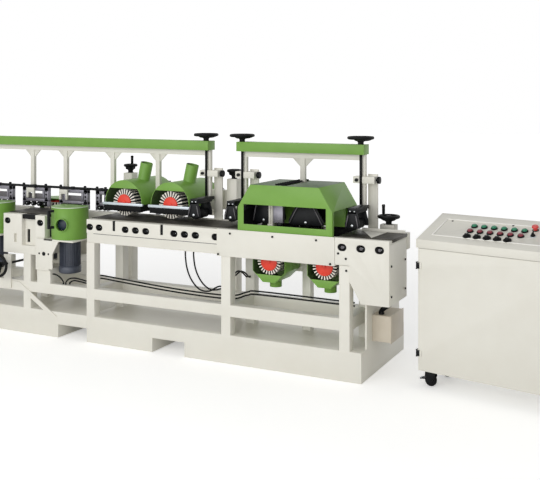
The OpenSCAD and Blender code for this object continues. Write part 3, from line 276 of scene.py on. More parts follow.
def path_frames(path):
    """A frame at each point of a path, square to it, that turns with the path and doesn't twist."""
    side = Vector(UP)
    frames = []
    for i, p in enumerate(path):
        along = (path[min(i + 1, len(path) - 1)] - path[max(i - 1, 0)]).normalized()
        across = side - along * along.dot(side)
        if across.length < 0.2:
            across = Vector(BACK) - along * along.y
        side = across.normalized()
        turn = Matrix((along.cross(side), side, -along)).transposed()
        frames.append(Matrix.Translation(p) @ turn.to_4x4())
    return frames


class Piece:
    """Gathers shapes, in millimetres from the stand's corner, and becomes one object that rides a CAD body.

    Each shape is in one of the piece's materials, the first by default, and may have a local frame.
    """

    def __init__(self, name, body, *paints, turn=None):
        self.name = name
        self.body = body
        self.paints = paints
        self.turn = turn or Matrix.Identity(4)
        self.shapes = bmesh.new()

    def take(self, shape, paint=None, where=None):
        """Adds a finished shape."""
        index = 0 if paint is None else self.paints.index(paint)
        for face in shape.faces:
            face.material_index = index
        mesh = bpy.data.meshes.new("shape")
        shape.to_mesh(mesh)
        shape.free()
        mesh.transform(self.turn @ where if where else self.turn)
        self.shapes.from_mesh(mesh)
        bpy.data.meshes.remove(mesh)

    def box(self, x, y, z, paint=None, soft=1.5, where=None):
        """A block that fills a span on each axis, with its edges rounded."""
        shape = bmesh.new()
        bmesh.ops.create_cube(shape, size=1.0)
        low, high = (Vector(corner) for corner in zip(x, y, z))
        size = high - low
        bmesh.ops.scale(shape, vec=size, verts=shape.verts)
        bmesh.ops.translate(shape, vec=(low + high) / 2, verts=shape.verts)
        round_edges(shape, list(shape.edges), min(soft, min(size) * MOST_ROUND_SHARE))
        self.take(shape, paint, where)

    def prism(self, outline, axis, span, paint=None, soft=1.0, where=None):
        """An outline drawn out along an axis: in Y and Z for axis 0, in X and Z for 1, in X and Y for 2."""
        shape = bmesh.new()
        corners = []
        for p in outline:
            point = list(p)
            point.insert(axis, span[0])
            corners.append(shape.verts.new(point))
        made = bmesh.ops.extrude_face_region(shape, geom=[shape.faces.new(corners)])["geom"]
        pull = Vector(ORIGIN)
        pull[axis] = span[1] - span[0]
        bmesh.ops.translate(shape, vec=pull, verts=[part for part in made if is_vert(part)])
        bmesh.ops.recalc_face_normals(shape, faces=shape.faces)
        round_edges(shape, list(shape.edges), soft)
        self.take(shape, paint, where)

    def lathe(self, profile, paint=None, sides=48, at=ORIGIN, axis=UP, where=None):
        """A profile of (radius, height) points turned round an axis that starts at a point.

        The profile starts and ends on the axis, or ends on its own first point.
        """
        shape = bmesh.new()
        closed = profile[0] == profile[-1]
        points = [shape.verts.new((r, 0, h)) for r, h in (profile[:-1] if closed else profile)]
        edges = [shape.edges.new(pair) for pair in zip(points, points[1:])]
        if closed:
            edges.append(shape.edges.new((points[-1], points[0])))
        bmesh.ops.spin(shape, geom=[*points, *edges], cent=ORIGIN, axis=UP, angle=math.tau, steps=sides,
                       use_merge=True, use_duplicate=False)
        bmesh.ops.remove_doubles(shape, verts=shape.verts, dist=WELD)
        bmesh.ops.recalc_face_normals(shape, faces=shape.faces)
        for face in shape.faces:
            face.smooth = True
        move = aimed(at, axis)
        self.take(shape, paint, where @ move if where else move)

    def rod(self, a, b, r, paint=None, soft=1.0, sides=32, where=None):
        """A round bar between two points with broken edges."""
        a, b = Vector(a), Vector(b)
        long = (b - a).length
        e = min(soft, r * 0.4, long * MOST_ROUND_SHARE)
        profile = [(0, 0), (r - e, 0), (r, e), (r, long - e), (r - e, long), (0, long)]
        self.lathe(profile, paint, sides, a, b - a, where)

    def ring(self, at, axis, big, small, paint=None, sides=64, where=None):
        """A torus: big is the radius of its centre line and small that of its section."""
        turns = [math.tau * k / RING_SIDES for k in range(RING_SIDES)]
        loop = [(big + small * math.cos(t), small * math.sin(t)) for t in turns]
        self.lathe([*loop, loop[0]], paint, sides, at, axis, where)

    def tube(self, points, r, paint=None, sides=14, where=None):
        """A round cable along a smooth line through the points: a circle drawn on from frame to frame."""
        frames = path_frames(smooth_path(points))
        shape = bmesh.new()
        bmesh.ops.create_circle(shape, cap_ends=True, segments=sides, radius=r)
        bmesh.ops.transform(shape, matrix=frames[0], verts=shape.verts)
        edges = list(shape.edges)
        for before, after in zip(frames, frames[1:]):
            made = bmesh.ops.extrude_edge_only(shape, edges=edges)["geom"]
            edges = [part for part in made if isinstance(part, bmesh.types.BMEdge) and part.is_boundary]
            bmesh.ops.transform(shape, matrix=after @ before.inverted(),
                                verts=[part for part in made if is_vert(part)])
        bmesh.ops.edgeloop_fill(shape, edges=edges)
        bmesh.ops.recalc_face_normals(shape, faces=shape.faces)
        for face in shape.faces:
            face.smooth = True
        self.take(shape, paint, where)

    def done(self, *replaced):
        """Makes the object, and has it stand in for the CAD nodes that it replaces."""
        mesh = bpy.data.meshes.new(self.name)
        self.shapes.to_mesh(mesh)
        self.shapes.free()
        mesh.transform(Matrix.Scale(0.001, 4) @ Matrix.Translation(CORNER))
        mesh.set_sharp_from_angle(angle=SMOOTH_BELOW)
        for paint in self.paints:
            mesh.materials.append(paint)
        obj = bpy.data.objects.new(self.name, mesh)
        scene.collection.objects.link(obj)
        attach(obj, self.body)
        if replaced:
            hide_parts(*replaced)
        return obj


def softened(node, width):
    """A copy of a CAD node with its sharp edges rounded by width millimetres, shown in the node's place."""
    shape = bmesh.new()
    shape.from_mesh(frame["nodes"][node].data)
    bmesh.ops.remove_doubles(shape, verts=shape.verts, dist=CAD_WELD_M)
    bmesh.ops.dissolve_limit(shape, angle_limit=FLAT_BELOW, verts=shape.verts, edges=shape.edges)
    bmesh.ops.recalc_face_normals(shape, faces=shape.faces)
    sharp = []
    for edge in shape.edges:
        if len(edge.link_faces) == 2:
            angle = edge.calc_face_angle(0.0)
            if angle > SHARP_FROM:
                sharp.append(edge)
            elif angle > CURVED_FROM:
                for face in edge.link_faces:
                    face.smooth = True
    round_edges(shape, sharp, width / 1000)
    mesh = bpy.data.meshes.new(node + "_finish")
    shape.to_mesh(mesh)
    shape.free()
    mesh.set_sharp_from_angle(angle=SMOOTH_BELOW)
    mesh.materials.append(SLOT_MATERIAL[NODE_SLOT[node]])
    obj = bpy.data.objects.new(node + "_finish", mesh)
    scene.collection.objects.link(obj)
    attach(obj, NODE_BODY[node])
    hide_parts(node)
    return obj


def repaint(obj, material, test):
    """Gives a second material to the faces whose centre, in millimetres from the corner, passes a test."""
    slot = len(obj.data.materials)
    obj.data.materials.append(material)
    for face in obj.data.polygons:
        if test(face.center * 1000 - CORNER, face.normal):
            face.material_index = slot


# Plain sheet-metal and welded pieces, with their edges broken

EDGE_ROUND = {
    "main_stand": 2.0, "side_stand": 1.6, "bed_rails": 1.2, "table_plates": 1.0, "front_skirt": 1.2,
    "drive_box": 1.0, "terminal_box": 2.5, "guide_columns": 1.5, "roller_hood": 1.2, "right_beam_cover": 1.0,
    "left_beam_cover": 1.0, "right_beam_frame": 1.5, "left_beam_frame": 1.5, "top_hood_1": 1.0,
    "top_hood_2": 1.0, "bottom_hood_1": 0.9, "bottom_hood_2": 0.9, "desk_cabinet": 1.0, "desk_lid": 1.5,
    "desk_door": 1.2, "fasteners": 1.0,
}
finished = {node: softened(node, width) for node, width in EDGE_ROUND.items()}


def looks_at(x, z):
    """A test for the faces of a hood that look at the axis of its brush."""
    return lambda p, n: n.x * (x - p.x) + n.z * (z - p.z) > 1 and abs(n.y) < 0.5


# Faces inside the hoods that look at their brush take the darker green: painted shade
for i in (0, 1):
    repaint(finished[f"top_hood_{i + 1}"], SHADED_HOOD_GREEN, looks_at(TOP_X[i], TOP_Z))
    repaint(finished[f"bottom_hood_{i + 1}"], SHADED_HOOD_GREEN, looks_at(BOTTOM_X[i], BOTTOM_Z))

HOOD_SHOULDER_Z = 1100
GEARBOX_X = (-10, 100)
GEARBOX_BACK = 450
GEARBOX_Z = (890, 951)


def in_gearbox(p, n):
    """True for the faces of the crank's gearbox."""
    return GEARBOX_X[0] < p.x < GEARBOX_X[1] and p.y < GEARBOX_BACK and GEARBOX_Z[0] < p.z < GEARBOX_Z[1]


# Only the hood's upward faces turn grey green: a painted reflection
repaint(finished["roller_hood"], HOOD_TOP_REFLECTION, lambda p, n: n.z > 0.9 and p.z > HOOD_SHOULDER_Z)
repaint(finished["guide_columns"], PALE_CASTING, in_gearbox)

# Desk hinges: the leaves are black near the knuckle and cream beyond it

DESK_AT = (326, 121, 0)
DESK_TURN = -11
DESK = Matrix.Translation(DESK_AT) @ rotation(DESK_TURN, "Z")
LEAF_BLACK_TO = 15
KNUCKLE_TO = 3.5
PROUD = -0.5
to_desk = DESK.inverted()


def on_door_hinge(p, n):
    """True for the knuckles, and for the part of the leaves that is black."""
    q = to_desk @ p
    return q.x < KNUCKLE_TO or q.y < PROUD and q.x < LEAF_BLACK_TO


door = finished["desk_door"].data
shape = bmesh.new()
shape.from_mesh(door)
bmesh.ops.bisect_plane(shape, geom=[*shape.verts, *shape.edges, *shape.faces], dist=1e-6,
                       plane_co=place(*(DESK @ Vector((LEAF_BLACK_TO, 0, 0)))),
                       plane_no=DESK.to_3x3() @ Vector((1, 0, 0)))
shape.to_mesh(door)
shape.free()
repaint(finished["desk_door"], BLACK, on_door_hinge)
repaint(finished["desk_cabinet"], BLACK, lambda p, n: (to_desk @ p).x < PROUD)

# Side guards: black handle, pale rim and a navy disc in the port as painted shade

GUARD_ROUND = 0.9
HANDLE_TURN = 22
HANDLE_FRONT = -139
HANDLE_HALF = 11
RIM_LOW = 966.5
RIM_R = 133
PORT_TURN = 15
PORT_UP = 115
PORT_SHADE_Y = (-129, -124)
PORT_SHADE_R = 41


def side_frame(i):
    """The frame of a side head at its guard's foot. The third head faces the other way."""
    return Matrix.Translation((*SIDE_AT[i - 1], GUARD_LOW)) @ rotation(180 if i == 3 else 0, "Z")


def dress_guard(i):
    """Paints a side guard's handle and rim, and sets a navy disc in its port as painted shade."""
    guard = softened(f"side_guard_{i}", GUARD_ROUND)
    middle = Vector((*SIDE_AT[i - 1], GUARD_LOW))
    turned = rotation(HANDLE_TURN + (180 if i == 3 else 0), "Z")

    def on_handle(p, n):
        q = turned @ (p - middle)
        return q.y < HANDLE_FRONT and abs(q.x) < HANDLE_HALF

    repaint(guard, BLACK, on_handle)
    repaint(guard, RIM, lambda p, n: p.z > RIM_LOW and (p - middle).xy.length > RIM_R)
    # A navy disc deep in the port is painted shade of the port's inside
    shade_disc = Piece(f"port_shade_{i}", f"side_head_{i}", PORT_SHADE_NAVY, turn=side_frame(i) @ rotation(PORT_TURN, "Z"))
    shade_disc.rod((0, PORT_SHADE_Y[0], PORT_UP), (0, PORT_SHADE_Y[1], PORT_UP), PORT_SHADE_R, soft=1.5, sides=40)
    shade_disc.done()


for i in (1, 2, 3):
    dress_guard(i)

# Brushes: a red hub with flanges, and rows of bristle in turn with rows of abrasive cloth

HUB_R = 49.0
FLANGE_R = 59.0
FLANGE_FRONT = -8
FLANGE_BACK = 5
FLANGE_GAP = 0.5
NUT_R = 14
NUT_FRONT = -14
SPINDLE_R = 15
ROWS = 48
ROW_PITCH = math.tau / ROWS
ROOT_SUNK = 3
FLAP_FILL_SHARE = 0.95
LEAN = 1.5
BEND = 0.6
RAGGED = 2.5
# Material, first row, flaps in a row, shares of the pitch at root and tip, set-back
FLAP_ROWS = ((BRISTLE, 0, 18, 0.8, 0.75, 0.0), (ABRASIVE, 1, 9, 1.1, 1.15, 7.0))
rng = random.Random(11)


def flap_row(turn, flaps, root_share, tip_share, back, r, long):
    """One row of flaps along a hub, each a cube drawn out to a thin wedge with a slight lean."""
    row = bmesh.new()
    lean = rng.uniform(-LEAN, LEAN)
    for k in range(flaps):
        ends = [back + (long - back) * v / flaps for v in (k, k + FLAP_FILL_SHARE)]
        tip = r - back - rng.uniform(0, RAGGED)
        bend = lean + rng.uniform(-BEND, BEND)
        for v in bmesh.ops.create_cube(row, size=2.0)["verts"]:
            outer = v.co.x > 0
            reach = tip if outer else HUB_R - ROOT_SUNK
            half = (tip_share if outer else root_share) * ROW_PITCH * reach / 2
            v.co = turn @ Vector((reach, (bend if outer else 0.0) + v.co.y * half, ends[int(v.co.z > 0)]))
    return row


def brush(node, at, axis, r, long, tail):
    """A brush that starts at a point and runs along an axis, with the spindle's tail behind it."""
    piece = Piece(node + "_finish", NODE_BODY[node], RED, BRISTLE, ABRASIVE, STEEL)
    where = aimed(at, axis)
    piece.lathe([(0, NUT_FRONT), (NUT_R - 3, NUT_FRONT), (NUT_R, NUT_FRONT + 2), (NUT_R, FLANGE_FRONT),
                 (FLANGE_R - 3, FLANGE_FRONT), (FLANGE_R, FLANGE_FRONT + 3), (FLANGE_R, -FLANGE_GAP),
                 (HUB_R, -FLANGE_GAP), (HUB_R, long + FLANGE_GAP), (FLANGE_R, long + FLANGE_GAP),
                 (FLANGE_R, long + FLANGE_BACK), (0, long + FLANGE_BACK)], RED, 64, where=where)
    piece.rod((0, 0, long), (0, 0, long + tail), SPINDLE_R, STEEL, where=where)
    for paint, first, flaps, root_share, tip_share, back in FLAP_ROWS:
        for i in range(first, ROWS, 2):
            turn = Matrix.Rotation(i * ROW_PITCH, 4, "Z")
            piece.take(flap_row(turn, flaps, root_share, tip_share, back, r, long), paint, where)
    piece.done(node)


TOP_BRUSH = {"r": 100, "long": 200, "tail": 297}
TOP_BRUSH_Y = 202
BOTTOM_BRUSH = {"r": 85, "long": 200, "tail": 94}
BOTTOM_BRUSH_Y = 100
SIDE_BRUSH = {"r": 100, "long": 180, "tail": 89}
SIDE_BRUSH_TOP = GUARD_LOW + 210

for i in (1, 2):
    brush(f"top_brush_{i}", (TOP_X[i - 1], TOP_BRUSH_Y, TOP_Z), BACK, **TOP_BRUSH)
    brush(f"bottom_brush_{i}", (BOTTOM_X[i - 1], BOTTOM_BRUSH_Y, BOTTOM_Z), BACK, **BOTTOM_BRUSH)
for i in (1, 2, 3):
    brush(f"side_brush_{i}", (*SIDE_AT[i - 1], SIDE_BRUSH_TOP), DOWN, **SIDE_BRUSH)

# Motors

COWL = 46
COWL_PROUD = 4
FINS = 36
FIN_HALF = 1.4
FIN_DEEP = 8
GRILLE_SUNK = 3
GRILLE_RINGS = 4
MOTOR_BOX_PROUD = 30
MOTOR_BOX_LONG = 70


def motor(piece, where, r, body):
    """A finned motor along +Z of a local frame: end shield, fins, fan cover with its grille."""
    core = r - FIN_DEEP
    piece.lathe([(0, 0), (r - 3, 0), (r, 3), (r, 22), (core, 26), (core, body - 12), (r - 2, body - 8),
                 (r - 2, body), (0, body)], SLATE, 56, where=where)
    for k in range(FINS):
        piece.box((core - 2, r - 0.5), about(0, FIN_HALF), (24, body - 10), SLATE, 0.6,
                  where @ rotation(k * 360 / FINS, "Z"))
    top = body + COWL
    wide = r + COWL_PROUD
    grille = top - GRILLE_SUNK
    piece.lathe([(0, body - 2), (wide - 2, body - 2), (wide, body), (wide, top - 9), (wide - 3, grille),
                 (r - 6, top), (r - 24, top), (r - 24, grille), (0, grille)], SLATE, 56, where=where)
    for k in range(GRILLE_RINGS):
        piece.ring((0, 0, grille), UP, 12 + k * (r - 40) / (GRILLE_RINGS - 1), 1.6, OXIDE, 40, where)


def motor_box(piece, where, r, low):
    """The terminal box on a motor's side, with its lid."""
    lid = r + MOTOR_BOX_PROUD
    half = MOTOR_BOX_LONG / 2
    piece.box((r - 10, lid), about(0, half), (low, low + MOTOR_BOX_LONG), SLATE, 3, where)
    piece.box((lid, lid + 4), about(0, half + 2), (low - 2, low + MOTOR_BOX_LONG + 2), SLATE, 1.2, where)


# Bottom heads: plate, motor and arm, and a rubber dust sheet on two posts behind the table's slit

SHEET_LEFT = 116
SHEET_RIGHT = (116, 84)
SHEET_Y = (424, 428)
SHEET_Z = (826, 908)
POST_APART = 40
POST_HALF = 6
POST_DEEP = 3
BOTTOM_MOTOR = {"r": 75, "body": 180}
BOTTOM_MOTOR_Y = 342
BOTTOM_BOX_LOW = 60
BOTTOM_PLATE_HALF = 85
BOTTOM_PLATE_UP = 75
BOTTOM_PLATE = 8
BOTTOM_ARM_Y = (360, 404)
BOTTOM_ARM_Z = (590, 655)
BOTTOM_ARM = ((BOTTOM_X[0] + 41, -560.3), (-499.7, BOTTOM_X[1] - 41))


def bottom_head(i):
    """What stands in for a bottom head's motor node."""
    x = BOTTOM_X[i - 1]
    piece = Piece(f"bottom_motor_{i}_finish", f"bottom_head_{i}", SLATE, CREAM, OXIDE, RUBBER)
    piece.box((x - SHEET_LEFT, x + SHEET_RIGHT[i - 1]), SHEET_Y, SHEET_Z, RUBBER, 1)
    for e in about(x, POST_APART):
        piece.box(about(e, POST_HALF), (SHEET_Y[1], SHEET_Y[1] + POST_DEEP), (BOTTOM_Z + 60, SHEET_Z[1] - 8),
                  OXIDE, 0.6)
    plate_back = BOTTOM_MOTOR_Y + SUNK
    piece.box(about(x, BOTTOM_PLATE_HALF), (plate_back - BOTTOM_PLATE, plate_back),
              about(BOTTOM_Z, BOTTOM_PLATE_UP), CREAM)
    motor(piece, aimed((x, BOTTOM_MOTOR_Y, BOTTOM_Z), BACK), **BOTTOM_MOTOR)
    spun = Matrix.Translation((x, BOTTOM_MOTOR_Y, BOTTOM_Z)) @ rotation(-90, "X")
    motor_box(piece, spun @ rotation(90, "Z"), BOTTOM_MOTOR["r"], BOTTOM_BOX_LOW)
    piece.box(BOTTOM_ARM[i - 1], BOTTOM_ARM_Y, BOTTOM_ARM_Z, CREAM, 2)
    piece.done(f"bottom_motor_{i}")


# Top heads: spindle housing, plate, motor and arm, a strip in front and rubber curtains round the brush

HOUSING_FRONT = 450
HOUSING_R = 45
TOP_MOTOR = {"r": 80, "body": 200}
TOP_BOX_LOW = 66
TOP_PLATE_Y = (640, 648)
TOP_PLATE_HALF = 130
TOP_PLATE_UP = 120
STRIP_HALF = 178
STRIP_Y = (174, 182)
STRIP_Z = (992, 1011)
STRIP_END = 30
STRIP_END_DEEP = 8
STRIP_END_Z = (996, 1010)
CURTAIN_HALF = 165
CURTAIN_Y = (175.5, 180.5)
CURTAIN_LOW = 950
CURTAIN_TOP = 997
CURTAIN_STRIPS = 22
SLIT = 0.4
SIDE_CURTAIN = 5.5
SIDE_CURTAIN_TOP = 999.5
SIDE_STRIPS = 20
SIDE_STRIP_PITCH = 15.4
TOP_ARM_HALF = 30
TOP_ARM_Z = (968, 1108)
TOP_ARM = ((LEFT - 1.7, TOP_X[0] - 165.3), (TOP_X[1] + 165.3, -1215.3))
TOP_ARM_Y = (607, 500)


def top_head(i):
    """What stands in for a top head's carriage node."""
    x = TOP_X[i - 1]
    piece = Piece(f"top_carriage_{i}_finish", f"top_head_{i}", SLATE, CREAM, OXIDE, STRIP, RUBBER)
    piece.rod((x, HOUSING_FRONT, TOP_Z), (x, TOP_PLATE_Y[0] + SUNK, TOP_Z), HOUSING_R, SLATE, 3)
    piece.box(about(x, TOP_PLATE_HALF), TOP_PLATE_Y, about(TOP_Z, TOP_PLATE_UP), CREAM)
    motor_at = (x, TOP_PLATE_Y[1] - SUNK, TOP_Z)
    motor(piece, aimed(motor_at, BACK), **TOP_MOTOR)
    spun = Matrix.Translation(motor_at) @ rotation(-90, "X")
    motor_box(piece, spun @ rotation(-90, "Z"), TOP_MOTOR["r"], TOP_BOX_LOW)
    piece.box(about(x, STRIP_HALF), STRIP_Y, STRIP_Z, STRIP, 1.2)
    for e in about(x, STRIP_HALF - STRIP_END / 2):
        piece.box(about(e, STRIP_END / 2), (STRIP_Y[1], STRIP_Y[1] + STRIP_END_DEEP), STRIP_END_Z, STRIP, 1.0)
    pitch = 2 * CURTAIN_HALF / CURTAIN_STRIPS
    for k in range(CURTAIN_STRIPS):
        a = x - CURTAIN_HALF + pitch * k
        piece.box((a + SLIT, a + pitch - SLIT), CURTAIN_Y, (CURTAIN_LOW + k % 2, CURTAIN_TOP), RUBBER, 0.6)
    for e in (x - CURTAIN_HALF, x + CURTAIN_HALF - SIDE_CURTAIN):
        for k in range(SIDE_STRIPS):
            a = STRIP_Y[1] + SIDE_STRIP_PITCH * k
            piece.box((e, e + SIDE_CURTAIN), (a + SLIT, a + SIDE_STRIP_PITCH - SLIT),
                      (CURTAIN_LOW + k % 2, SIDE_CURTAIN_TOP), RUBBER, 0.6)
    piece.box(TOP_ARM[i - 1], about(TOP_ARM_Y[i - 1], TOP_ARM_HALF), TOP_ARM_Z, CREAM, 2)
    piece.done(f"top_carriage_{i}")


for i in (1, 2):
    bottom_head(i)
    top_head(i)

# Side heads: the bracket's plates round a motor that hangs down, with a slide bolt and two screws

SIDE_MOTOR = {"r": 80, "body": 215}
BRACKET_PLATE = 12
BRACKET_HALF = 138
BRACKET_FRONT = (-BRACKET_HALF, BRACKET_PLATE - BRACKET_HALF)
BRACKET_BACK = 75
BRACKET_LEFT = -216
BRACKET_LOW = -223.7
CHEEK_RIGHT = -56
FOOT_RIGHT = -90
GUSSET_LOW = -112
BOLT_X = -136
BOLT_Z = -112
BOLT_R = 15
BOLT_Y = (-142, -130)
BRACKET_SCREW_R = 7
BRACKET_SCREW_APART = 44


def side_head(i):
    """What stands in for a side head's motor node."""
    piece = Piece(f"side_motor_{i}_finish", f"side_head_{i}", SLATE, CREAM, OXIDE, turn=side_frame(i))
    deep = (BRACKET_FRONT[0], BRACKET_BACK)
    piece.box(about(0, BRACKET_HALF), deep, (-BRACKET_PLATE, 0), CREAM)
    piece.box((BRACKET_LEFT, CHEEK_RIGHT), BRACKET_FRONT, (BRACKET_LOW - 0.3, 0), CREAM)
    piece.box((BRACKET_LEFT, FOOT_RIGHT), deep, (BRACKET_LOW - BRACKET_PLATE, BRACKET_LOW), CREAM)
    gusset = CHEEK_RIGHT - SUNK
    piece.prism([(gusset, -BRACKET_PLATE), (gusset, GUSSET_LOW), (0, -BRACKET_PLATE)], 1, BRACKET_FRONT,
                CREAM)
    piece.rod((BOLT_X, BOLT_Y[0], BOLT_Z), (BOLT_X, BOLT_Y[1], BOLT_Z), BOLT_R, OXIDE)
    for e in about(BOLT_X, BRACKET_SCREW_APART):
        piece.rod((e, BOLT_Y[0] + 1, BOLT_Z), (e, BOLT_Y[1], BOLT_Z), BRACKET_SCREW_R, OXIDE)
    motor(piece, rotation(180, "X"), **SIDE_MOTOR)
    piece.done(f"side_motor_{i}")


for i in (1, 2, 3):
    side_head(i)

# Handwheels

SCREW_R = 9
SPOKES = 3
SPOKE_TURN = 0.4


def handwheel(piece, where, d, hub, dish):
    """A dished wheel: hub at the frame's origin, rim at dish along +Z, each spoke of five round ribs."""
    r = d / 2 - 8
    piece.lathe([(0, 0), (20, 0), (20, hub * 0.25), (25, hub * 0.4), (23, hub * 0.75), (15, hub), (0, hub)],
                BAKELITE, 40, where=where)
    piece.ring((0, 0, dish), UP, r - 3, 11, BAKELITE, 72, where)
    for k in range(SPOKES):
        spun = where @ Matrix.Rotation(k * math.tau / SPOKES + SPOKE_TURN, 4, "Z")
        for s in (-12, -6, 0, 6, 12):
            piece.tube([(10, s, hub * 0.45), (30, s * 0.9, hub * 0.5), (r * 0.7, s * 0.75, dish - 12),
                        (r, s * 0.6, dish - 1)], 6.5, BAKELITE, 12, spun)


def wheel_grip(piece, where, d, dish):
    """A turning grip on a wheel's rim."""
    at = where @ Vector((-d / 2 + 8, 0, dish))
    axis = where.to_3x3() @ Vector(UP)
    piece.lathe([(0, 0), (7, 0), (7, 8), (10.5, 14), (10.5, 52), (12, 68), (9, 74), (0, 74)],
                BAKELITE, 28, at, axis)


BEAM_LEFT = LEFT - 1426
BEAM_LONG = 2246
BEAM_SCREWS = {"right": (-1018.0, -126.0), "left": (BEAM_LEFT, BEAM_LEFT + BEAM_LONG)}
BEAM_SCREW_Y = 330
BEAM_SCREW_Z = (1078, 1479)
TOP_SCREW_X = (LEFT - 42, -1175.0)
TOP_SCREW_Z = (1116, 1196)
SIDE_SCREW_X = LEFT - 752
SIDE_SCREW_Y = (-119, 210)
SIDE_SCREW_Z = 515
SIDE_WHEEL_Y = -64
CRANK_X = 45
CRANK_Y = 400
CRANK_Z = (912, 952)
# How far a hub comes down over its screw
OVERLAP = 1.7
BEAM_WHEEL = {"d": 180, "hub": 56, "dish": 44}
TOP_WHEEL = {"d": 110, "hub": 66, "dish": 58}
TOP_WHEEL_TURN = -69
TOP_OVERLAP = 0.7
CRANK_WHEEL = {"d": 150, "hub": 58, "dish": 50}
CRANK_TURN = -40

for side, screws in BEAM_SCREWS.items():
    for i, x in enumerate(screws, 1):
        piece = Piece(f"{side}_wheel_{i}_finish", f"{side}_wheel_{i}", BAKELITE, OXIDE)
        low, high = BEAM_SCREW_Z
        piece.rod((x, BEAM_SCREW_Y, low), (x, BEAM_SCREW_Y, high), SCREW_R, OXIDE, 1.5)
        handwheel(piece, Matrix.Translation((x, BEAM_SCREW_Y, high - OVERLAP)), **BEAM_WHEEL)
        piece.done(f"{side}_wheel_{i}")
for i, x in enumerate(TOP_SCREW_X, 1):
    y = TOP_ARM_Y[i - 1]
    low, high = TOP_SCREW_Z
    piece = Piece(f"top_wheel_{i}_finish", f"top_wheel_{i}", BAKELITE, OXIDE)
    piece.rod((x, y, low), (x, y, high), SCREW_R, OXIDE)
    where = Matrix.Translation((x, y, high - TOP_OVERLAP)) @ rotation(TOP_WHEEL_TURN, "Z")
    handwheel(piece, where, **TOP_WHEEL)
    if i == 1:
        wheel_grip(piece, where, TOP_WHEEL["d"], TOP_WHEEL["dish"])
    piece.done(f"top_wheel_{i}")

front, back = SIDE_SCREW_Y
piece = Piece("side_wheel_finish", "side_wheel", BAKELITE, OXIDE)
piece.rod((SIDE_SCREW_X, front, SIDE_SCREW_Z), (SIDE_SCREW_X, back, SIDE_SCREW_Z), SCREW_R, OXIDE)
where = Matrix.Translation((SIDE_SCREW_X, SIDE_WHEEL_Y, SIDE_SCREW_Z)) @ rotation(90, "X")
handwheel(piece, where, **BEAM_WHEEL)
piece.done("side_wheel")

low, high = CRANK_Z
piece = Piece("end_crank_finish", "end_crank", BAKELITE, OXIDE)
piece.rod((CRANK_X, CRANK_Y, low), (CRANK_X, CRANK_Y, high), SCREW_R, OXIDE)
where = Matrix.Translation((CRANK_X, CRANK_Y, high - OVERLAP)) @ rotation(CRANK_TURN, "Z")
handwheel(piece, where, **CRANK_WHEEL)
wheel_grip(piece, where, CRANK_WHEEL["d"], CRANK_WHEEL["dish"])
piece.done("end_crank")

# Hold-downs under the right beam

ROLLER_Z = 963.0
ROLLER_R = 32
ROLLER_Y = (150.4, 299.6)
AXLE_R = 9
AXLE_Y = (132, 316)
CHEEK_Y = (138, 300)
CHEEK = 12
CHEEK_BELOW = 16
CHEEK_ABOVE = 14
BRIDGE_BACK = 347
BRIDGE = 12
GUIDE_Y = 134
GUIDE_R = 4
STUD_Y = 146
STUD_R = 5
NUT_ACROSS_R = 10
BEAM_FOOT_Z = (1051, 1075)
BEAM_FOOT_HALF = 30
BEAM_FOOT_BACK = 375
END_PRESSER_OFF = 12
END_PRESSER = {"base": 100, "head": 60}
BAR_X = (-800, -390)
BAR_Y = (347, 373)
BAR_Z = (1070, 1094)
BAR_LOW = 1060
MIDDLE_PRESSERS = ((-750, 170), (-440, 250))
MIDDLE_HEAD = 116
CROSS_BAR_X = -557
CROSS_BAR_HALF = 12
CROSS_BAR_FRONT = 50
POST_Y = (100, 130)
POST_LEFT = -702
POST_RODS = (-693, -675)
POST_ROD_R = 8
POST_FOOT_RIGHT = -666
POST_FOOT_Z = (930, 944)
BLOCK_X = (-660, -590)
BLOCK_Z = (954, 1072)
GUIDE_WHEEL_AT = (-617, 940)
GUIDE_WHEEL_R = 18
GUIDE_WHEEL_Y = (98, 126)
HOOD_LEFT = -845
HOOD_RIGHT = -238
HOOD_SHEET_Y = (8, 326)
BACK_SHEET_Y = (338, 343)
BACK_SHEET_Z = (920, 1040, 1090)
RUBBER_SHEET = 5
RUBBER_SHEET_Z = (917, 1042)
RUBBER_STEP = 18
RUBBER_STEP_TOP = 1072


def presser(piece, x, top, base, head):
    """A roller between two cheeks that widen downwards, with its axle, studs and two guide bars."""
    z = ROLLER_Z
    foot, shoulder = z - CHEEK_BELOW, z + CHEEK_ABOVE
    b, h = base / 2, head / 2
    outline = [(x - b, foot), (x + b, foot), (x + b, shoulder), (x + h, top), (x - h, top), (x - b, shoulder)]
    for y in CHEEK_Y:
        piece.prism(outline, 1, (y, y + CHEEK), BLACK, 1.2)
    piece.rod((x, AXLE_Y[0], z), (x, AXLE_Y[1], z), AXLE_R, STEEL)
    piece.rod((x, ROLLER_Y[0], z), (x, ROLLER_Y[1], z), ROLLER_R, RUBBER, 2.5, 40)
    piece.box(about(x, h), (CHEEK_Y[0], BRIDGE_BACK), (top - BRIDGE, top), BLACK, 1.2)
    for s in (-1, 1):
        piece.rod((x + s * (b - 8), GUIDE_Y, z - 8), (x + s * (h - 4), GUIDE_Y, top - 22), GUIDE_R,
                  DARK_CASTING)
        stud = x + s * h / 2
        piece.rod((stud, STUD_Y, top - 40), (stud, STUD_Y, top + 14), STUD_R, STEEL)
        piece.rod((stud, STUD_Y, top), (stud, STUD_Y, top + 8), NUT_ACROSS_R, STEEL, sides=6)


def end_presser(piece, screw_x):
    """The small presser on a beam's end, under its foot and a little right of its screw."""
    x = screw_x + END_PRESSER_OFF
    piece.box(about(x, BEAM_FOOT_HALF), (CHEEK_Y[0], BEAM_FOOT_BACK), BEAM_FOOT_Z, BLACK)
    presser(piece, x, BEAM_FOOT_Z[0], **END_PRESSER)


